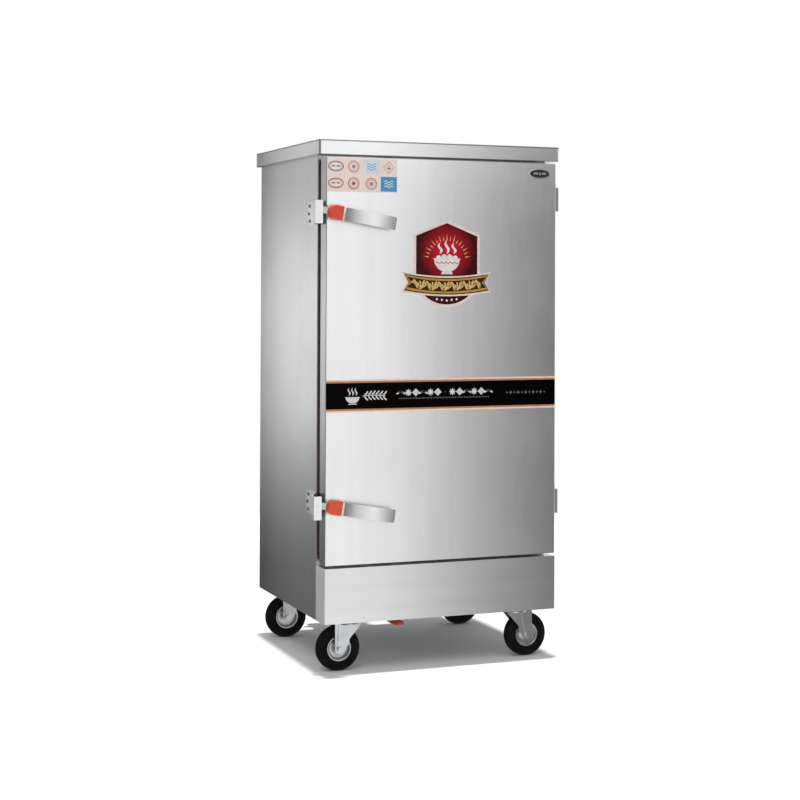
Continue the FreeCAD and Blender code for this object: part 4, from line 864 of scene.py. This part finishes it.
# Shield emblem with a steaming bowl
emblem = {
    "centreX": 0.009, "low": 1.009, "high": 1.255, "halfWidth": 0.101, "shoulder": 1.213, "waist": 1.098,
    "outline": 0.0078, "ink": 0.0001,
    "cream": (0.90, 0.76, 0.71), "maroon": (0.045, 0.003, 0.003), "crimson": (0.56, 0.010, 0.030),
    "gold": (0.55, 0.30, 0.055), "paleGold": (0.80, 0.57, 0.21), "white": (0.86, 0.84, 0.82),
    "dark": (0.045, 0.018, 0.010),
    "glow": {"height": 1.164, "full": 0.020, "gone": 0.086},
    "ribbon": {"halfWidth": 0.128, "height": 1.068, "halfHeight": 0.022, "sag": 0.012, "notch": 0.014},
    "rays": {"height": 1.140, "inner": 0.057, "long": 0.075, "short": 0.069, "halfAngle": 0.026, "count": 17},
    "rice": {"height": 1.147, "places": ((-0.0252, 0.0), (-0.0084, 0.003), (0.0084, 0.003), (0.0252, 0.0)),
             "size": (0.0083, 0.0078)},
    "steam": {"height": 1.160, "wisps": ((-0.021, 0.030), (0.0, 0.038), (0.021, 0.030)), "sway": 0.0045,
              "thick": 0.0080},
    "bowl": {"height": 1.146, "radius": 0.042, "depth": 0.037},
    "bowlFoot": [(-0.015, 1.109), (0.015, 1.109), (0.018, 1.102), (-0.018, 1.102)],
    "bowlBand": {"height": 1.134, "half": 0.034, "rise": 0.0022, "thick": 0.0024},
    "grains": {"step": 0.0188, "each": 5, "lean": 0.5, "size": (0.0290, 0.0098), "sideSize": (0.0170, 0.0058),
               "sides": ((-0.0066, 0.0032, 0.5), (0.0066, -0.0032, -0.4))},
    "dots": {"height": 1.028, "places": (-0.030, -0.015, 0.0, 0.015, 0.030), "radius": 0.0032, "slope": 0.12},
}
emblemX = doorMiddle + emblem["centreX"]


# Gabled top, straight sides and a round foot
def shield(inset, count=24):
    x, half, waist = emblemX, emblem["halfWidth"] - inset, emblem["waist"]
    peak, shoulder = emblem["high"] - inset * 1.2, emblem["shoulder"] - inset * 0.5
    drop = waist - emblem["low"] - inset
    points = [(x, peak), (x - half, shoulder), (x - half, waist)]
    for k in range(1, count):
        a = math.pi + math.pi * k / count
        points.append((x + half * math.cos(a), waist + drop * math.sin(a)))
    points += [(x + half, waist), (x + half, shoulder)]
    return points


# Height of the ribbon's middle line, t from -1 to 1 along it
def ribbonLine(t):
    return emblem["ribbon"]["height"] + emblem["ribbon"]["sag"] * t * t


# Curved band that is wider than the shield, with notched ends
def ribbon(grow, count=24):
    look = emblem["ribbon"]
    half, tall = look["halfWidth"] + grow, look["halfHeight"] + grow
    places = [-1 + 2 * k / count for k in range(count + 1)]
    top = [(emblemX + half * t, ribbonLine(t) + tall) for t in places]
    bottom = [(emblemX + half * t, ribbonLine(t) - tall) for t in places]
    notchZ = look["height"] + look["sag"] * 0.8
    leftNotch = (emblemX - half + look["notch"], notchZ)
    rightNotch = (emblemX + half - look["notch"], notchZ)
    return bottom + [rightNotch] + list(reversed(top)) + [leftNotch]


# Crimson in the middle that falls off to maroon at the border
def glowingField():
    material, tree, shader, place = startMaterial("emblemField")
    span = tree.nodes.new("ShaderNodeVectorMath")
    span.operation = "DISTANCE"
    flat = stretched(tree, place, (1.0, 0.0, 1.0))
    tree.links.new(flat, span.inputs[0])
    glow = emblem["glow"]
    span.inputs[1].default_value = (emblemX, 0.0, glow["height"])
    away = between(tree, span.outputs["Value"], 0, 1, glow["full"], glow["gone"])
    speckle = noise(tree, place, 90.0, 3.0)
    away = combine(tree, away, between(tree, speckle, -0.06, 0.06))
    coat(tree, shader, blendColours(tree, away, emblem["crimson"], emblem["maroon"]),
         between(tree, speckle, 0.3, 0.4))
    shader.inputs["Specular IOR Level"].default_value = 0.10
    return material


# Rays that fan out above the bowl, long and short by turns
def rays():
    look = emblem["rays"]
    shapes = []
    for k in range(look["count"]):
        a = math.pi * (k + 1) / (look["count"] + 1)
        outer = look["short"] if k % 2 else look["long"]
        tips = [(look["inner"], a - look["halfAngle"]), (outer, a), (look["inner"], a + look["halfAngle"])]
        shapes.append([(emblemX + r * math.cos(b), look["height"] + r * math.sin(b)) for r, b in tips])
    return shapes


# Ears of grain along the ribbon, leaning by turns
def ribbonGrains():
    look = emblem["grains"]
    figures = []
    for k in range(-look["each"], look["each"] + 1):
        x = emblemX + k * look["step"]
        z = ribbonLine(k * look["step"] / emblem["ribbon"]["halfWidth"])
        lean = look["lean"] if k % 2 else -look["lean"]
        figures.append(leaf(x, z, *look["size"], lean))
        figures += [leaf(x + dx, z + dz, *look["sideSize"], lean + more) for dx, dz, more in look["sides"]]
    return figures


def buildEmblem():
    inks = {tone: printedFilm("emblem" + tone[0].upper() + tone[1:], emblem[tone], dimmed(emblem[tone], 0.82))
            for tone in ("cream", "crimson", "gold", "paleGold", "white", "dark")}
    rice, wisps, bowl, band, dots = [emblem[kind] for kind in ("rice", "steam", "bowl", "bowlBand", "dots")]
    grains = [ellipse(emblemX + dx, rice["height"] + dz, *rice["size"], 20) for dx, dz in rice["places"]]
    bowlShapes = [halfBowl(emblemX, bowl["height"], bowl["radius"], bowl["depth"]),
                  [(emblemX + dx, z) for dx, z in emblem["bowlFoot"]]]
    bowlShapes += [steam(emblemX + dx, wisps["height"], tall, wisps["sway"], wisps["thick"])
                   for dx, tall in wisps["wisps"]]
    bandWave = wave(emblemX - band["half"], emblemX + band["half"], band["height"], band["rise"],
                    band["thick"], 60, 5)
    footDots = [disc(emblemX + dx, dots["height"] + abs(dx) * dots["slope"], dots["radius"], 14)
                for dx in dots["places"]]
    # Each film lies over the one before it
    flatPiece("emblem_outline", [shield(0.0)], inks["cream"], lift=0.0001, thickness=0.0003)
    films = [
        ("emblem_ribbon_outline", [ribbon(0.0062)], 0.0009, inks["cream"]),
        ("emblem_field", [shield(emblem["outline"])], 0.0004, glowingField()),
        ("emblem_rays", rays(), 0.0006, inks["paleGold"]),
        ("emblem_rice", grains, 0.0006, inks["white"]),
        ("emblem_bowl", bowlShapes, 0.0007, inks["white"]),
        ("emblem_bowl_band", [bandWave], 0.0008, inks["crimson"]),
        ("emblem_ribbon_edge", [ribbon(0.0015)], 0.0010, inks["dark"]),
        ("emblem_ribbon", [ribbon(-0.0015)], 0.0011, inks["gold"]),
        ("emblem_ribbon_ground", [ribbon(-0.0072)], 0.0012, inks["dark"]),
        ("emblem_ribbon_grains", ribbonGrains(), 0.0013, inks["paleGold"]),
        ("emblem_foot_dots", footDots, 0.0006, inks["white"]),
    ]
    for name, shapes, lift, ink in films:
        flatPiece(name, shapes, ink, lift, emblem["ink"])


buildEmblem()

# Small plated badge
badge = {
    "left": 0.262, "right": 0.332, "low": 1.377, "high": 1.407,
    "inlay": (0.86, 0.76), "plateDepth": 0.0012, "rounding": 0.0004,
    "leafPlace": 0.0130, "leafSize": (0.0150, 0.0085), "starRadius": 0.0055,
}


def buildBadge():
    look = badge
    x, z = doorMiddle + (look["left"] + look["right"]) / 2, (look["low"] + look["high"]) / 2
    half, tall = (look["right"] - look["left"]) / 2, (look["high"] - look["low"]) / 2
    dark = mouldedPlastic("badgeDark", (0.015, 0.015, 0.016), 0.3, (0.03, 0.03, 0.03))
    plate = ellipse(x, z, half, tall, 56)
    plated = flatPiece("badge_plate", [plate], finish["badgePlate"], lift=0.0001, thickness=look["plateDepth"])
    softenEdges(plated, look["rounding"])
    inlay = ellipse(x, z, half * look["inlay"][0], tall * look["inlay"][1], 56)
    flatPiece("badge_inlay", [inlay], dark, lift=0.0013, thickness=0.0001)
    figures = [leaf(x + side * look["leafPlace"], z, *look["leafSize"], math.pi / 2) for side in (-1, 1)]
    figures.append(star(x, z, look["starRadius"], 8, 0.5))
    flatPiece("badge_leaves", figures, finish["badgePlate"], lift=0.0014, thickness=0.0003)


buildBadge()
print("door graphics made")

# Camera as in the photograph
cameraLook = {
    "place": (-1.8383, -4.7473, 1.0771), "yaw": 0.3711, "pitch": 0.0113, "roll": 0.0043,
    "lens": 76.53, "shiftY": -0.1705, "clipEnd": 60,
}


def placeCamera():
    look = cameraLook
    yaw, pitch, roll = look["yaw"], look["pitch"], look["roll"]
    forward = Vector((math.sin(yaw) * math.cos(pitch), math.cos(yaw) * math.cos(pitch), math.sin(pitch)))
    right = Vector((math.cos(yaw), -math.sin(yaw), 0))
    up = right.cross(forward)
    right, up = right * math.cos(roll) + up * math.sin(roll), up * math.cos(roll) - right * math.sin(roll)
    camera = addObject("camera", bpy.data.cameras.new("camera"))
    camera.data.lens = look["lens"]
    camera.data.sensor_width = 36
    camera.data.shift_y = look["shiftY"]
    camera.data.clip_end = look["clipEnd"]
    turn = Matrix((right, up, -forward)).transposed().to_4x4()
    camera.matrix_world = Matrix.Translation(look["place"]) @ turn
    bpy.context.scene.camera = camera


placeCamera()

# Floor, light and reflection cards
studio = {
    "floorRadius": 2.9, "floorColour": (0.93, 0.93, 0.93), "floorSides": 96,
    "worldLight": 0.40, "overhead": 3.0, "overheadSoftness": 1.6,
    "frontLamp": 42, "frontPlace": (-1.9, -2.5, 3.7), "frontTarget": (0, 0, 0.8), "frontSize": (1.6, 2.2),
}


def stageMesh(name, points, faces, material):
    mesh = bpy.data.meshes.new(name)
    mesh.from_pydata(points, [], faces)
    piece = addObject(name, mesh)
    mesh.materials.append(material)
    return piece


def buildFloor():
    material, tree, shader, place = startMaterial("paleFloor")
    colour, radius, sides = studio["floorColour"], studio["floorRadius"], studio["floorSides"]
    fine = noise(tree, place, 30.0, 4.0)
    tone = blendColours(tree, between(tree, fine, 0, 1), dimmed(colour, 0.995), colour)
    tree.links.new(tone, shader.inputs["Base Color"])
    shader.inputs["Roughness"].default_value = 0.9
    shader.inputs["Specular IOR Level"].default_value = 0.0
    angles = [2 * math.pi * k / sides for k in range(sides)]
    rim = [(radius * math.cos(a), radius * math.sin(a), 0) for a in angles]
    floor = stageMesh("floor", rim, [tuple(range(sides))], material)
    floor.visible_glossy = False                                    # steel shows the cards instead


# White behind the object, and a plain level of light on it
def buildWorld():
    world = bpy.data.worlds.new("studio")
    bpy.context.scene.world = world
    world.use_nodes = True
    tree = world.node_tree
    tree.nodes.clear()
    output = tree.nodes.new("ShaderNodeOutputWorld")
    background = tree.nodes.new("ShaderNodeBackground")
    tree.links.new(background.outputs[0], output.inputs[0])
    path = tree.nodes.new("ShaderNodeLightPath")
    seen = combine(tree, path.outputs["Is Camera Ray"], path.outputs["Is Glossy Ray"], "MAXIMUM")
    seen = combine(tree, seen, path.outputs["Is Transmission Ray"], "MAXIMUM")
    level = combine(tree, combine(tree, seen, 1.0 - studio["worldLight"], "MULTIPLY"), studio["worldLight"])
    tree.links.new(level, background.inputs["Strength"])
    background.inputs["Color"].default_value = (1, 1, 1, 1)


def lampAt(name, kind, place, target, power):
    lamp = bpy.data.lights.new(name, kind)
    lamp.energy = power
    holder = addObject(name, lamp)
    holder.location = place
    holder.rotation_mode = "QUATERNION"
    holder.rotation_quaternion = (Vector(target) - Vector(place)).to_track_quat("-Z", "Y")
    holder.visible_camera = False
    return lamp


# Steel shows what stands around it, so cards with soft gradients are there for reflections only
cards = {
    "frontRightCard": {
        "corners": [(-0.09, -1.0, -0.9), (2.6, -1.0, -0.9), (2.6, -1.0, 2.6), (-0.09, -1.0, 2.6)],
        "across": [(-0.09, 1.0), (0.03, 0.94), (0.14, 0.84), (0.26, 0.60), (0.38, 0.43), (0.48, 0.32),
                   (0.57, 0.23), (0.66, 0.15), (0.95, 0.08), (2.6, 0.08)],
        "upward": [(-0.9, 0.0), (1.38, 0.0), (1.52, 0.15), (2.6, 0.15)],
        "how": "ADD", "gain": 1.0,
    },
    "frontLeftCard": {
        "corners": [(-0.17, -1.02, -0.9), (-2.7, -1.02, -0.9), (-2.7, -1.02, 2.6), (-0.17, -1.02, 2.6)],
        "across": [(-2.7, 0.16), (-0.66, 0.16), (-0.50, 0.22), (-0.40, 0.45), (-0.30, 0.85), (-0.24, 1.0),
                   (-0.17, 1.0)],
        "upward": [(-0.9, 1.0), (2.6, 1.0)],
        "how": "MULTIPLY", "gain": 1.0,
    },
    "leftCard": {
        "corners": [(-2.5, -1.0, -0.9), (-2.5, 0.60, -0.9), (-2.5, 0.60, 2.6), (-2.5, -1.0, 2.6)],
        "across": [(-2.6, 1.0), (-2.4, 1.0)],
        "upward": [(-0.9, 1.0), (2.6, 1.0)],
        "how": "MULTIPLY", "gain": 0.16,
    },
    "backLeftCard": {
        "corners": [(0.5, 0.62, -0.9), (-2.2, 0.62, -0.9), (-2.2, 0.62, 2.4), (0.5, 0.62, 2.4)],
        "across": [(-2.2, 0.26), (-0.84, 0.32), (-0.76, 0.48), (-0.71, 0.74), (-0.67, 1.0), (-0.63, 0.92),
                   (-0.58, 0.66), (-0.53, 0.38), (-0.48, 0.18), (-0.42, 0.08), (-0.34, 0.05), (0.5, 0.05)],
        "upward": [(-0.9, 0.14), (0.0, 0.13), (0.16, 0.15), (0.31, 0.25), (0.48, 0.47), (0.65, 0.77),
                   (0.83, 0.95), (1.0, 1.0), (1.17, 0.90), (1.34, 0.62), (1.46, 0.54), (2.4, 0.50)],
        "how": "MULTIPLY", "gain": 1.7,
    },
    "topCard": {
        "corners": [(-2.2, -1.6, 2.3), (2.2, -1.6, 2.3), (2.2, 2.2, 2.3), (-2.2, 2.2, 2.3)],
        "across": [(-2.2, 1.0), (2.2, 1.0)],
        "upward": [(2.2, 1.0), (2.4, 1.0)],
        "how": "MULTIPLY", "gain": 0.22,
    },
}


def reflectionCard(name, look):
    material, tree, glow, place = startMaterial(name, "ShaderNodeEmission")
    across = gradient(tree, alongAxis(tree, place, "X"), look["across"])
    upward = gradient(tree, alongAxis(tree, place, "Z"), look["upward"])
    level = combine(tree, across, upward, look["how"])
    tree.links.new(combine(tree, level, look["gain"], "MULTIPLY"), glow.inputs["Strength"])
    card = stageMesh(name, look["corners"], [(0, 1, 2, 3)], material)
    card.visible_camera = False
    card.visible_diffuse = False
    card.visible_shadow = False
    card.visible_transmission = False


def buildStudio():
    buildFloor()
    buildWorld()
    for name, look in cards.items():
        reflectionCard(name, look)
    overhead = lampAt("overhead", "SUN", (0, 0, 4), (0, 0, 0), studio["overhead"])
    overhead.angle = math.radians(studio["overheadSoftness"])
    front = lampAt("frontLamp", "AREA", studio["frontPlace"], studio["frontTarget"], studio["frontLamp"])
    front.shape = "RECTANGLE"
    front.size, front.size_y = studio["frontSize"]
    bpy.context.scene.view_settings.view_transform = "Standard"


buildStudio()
print("studio ready")
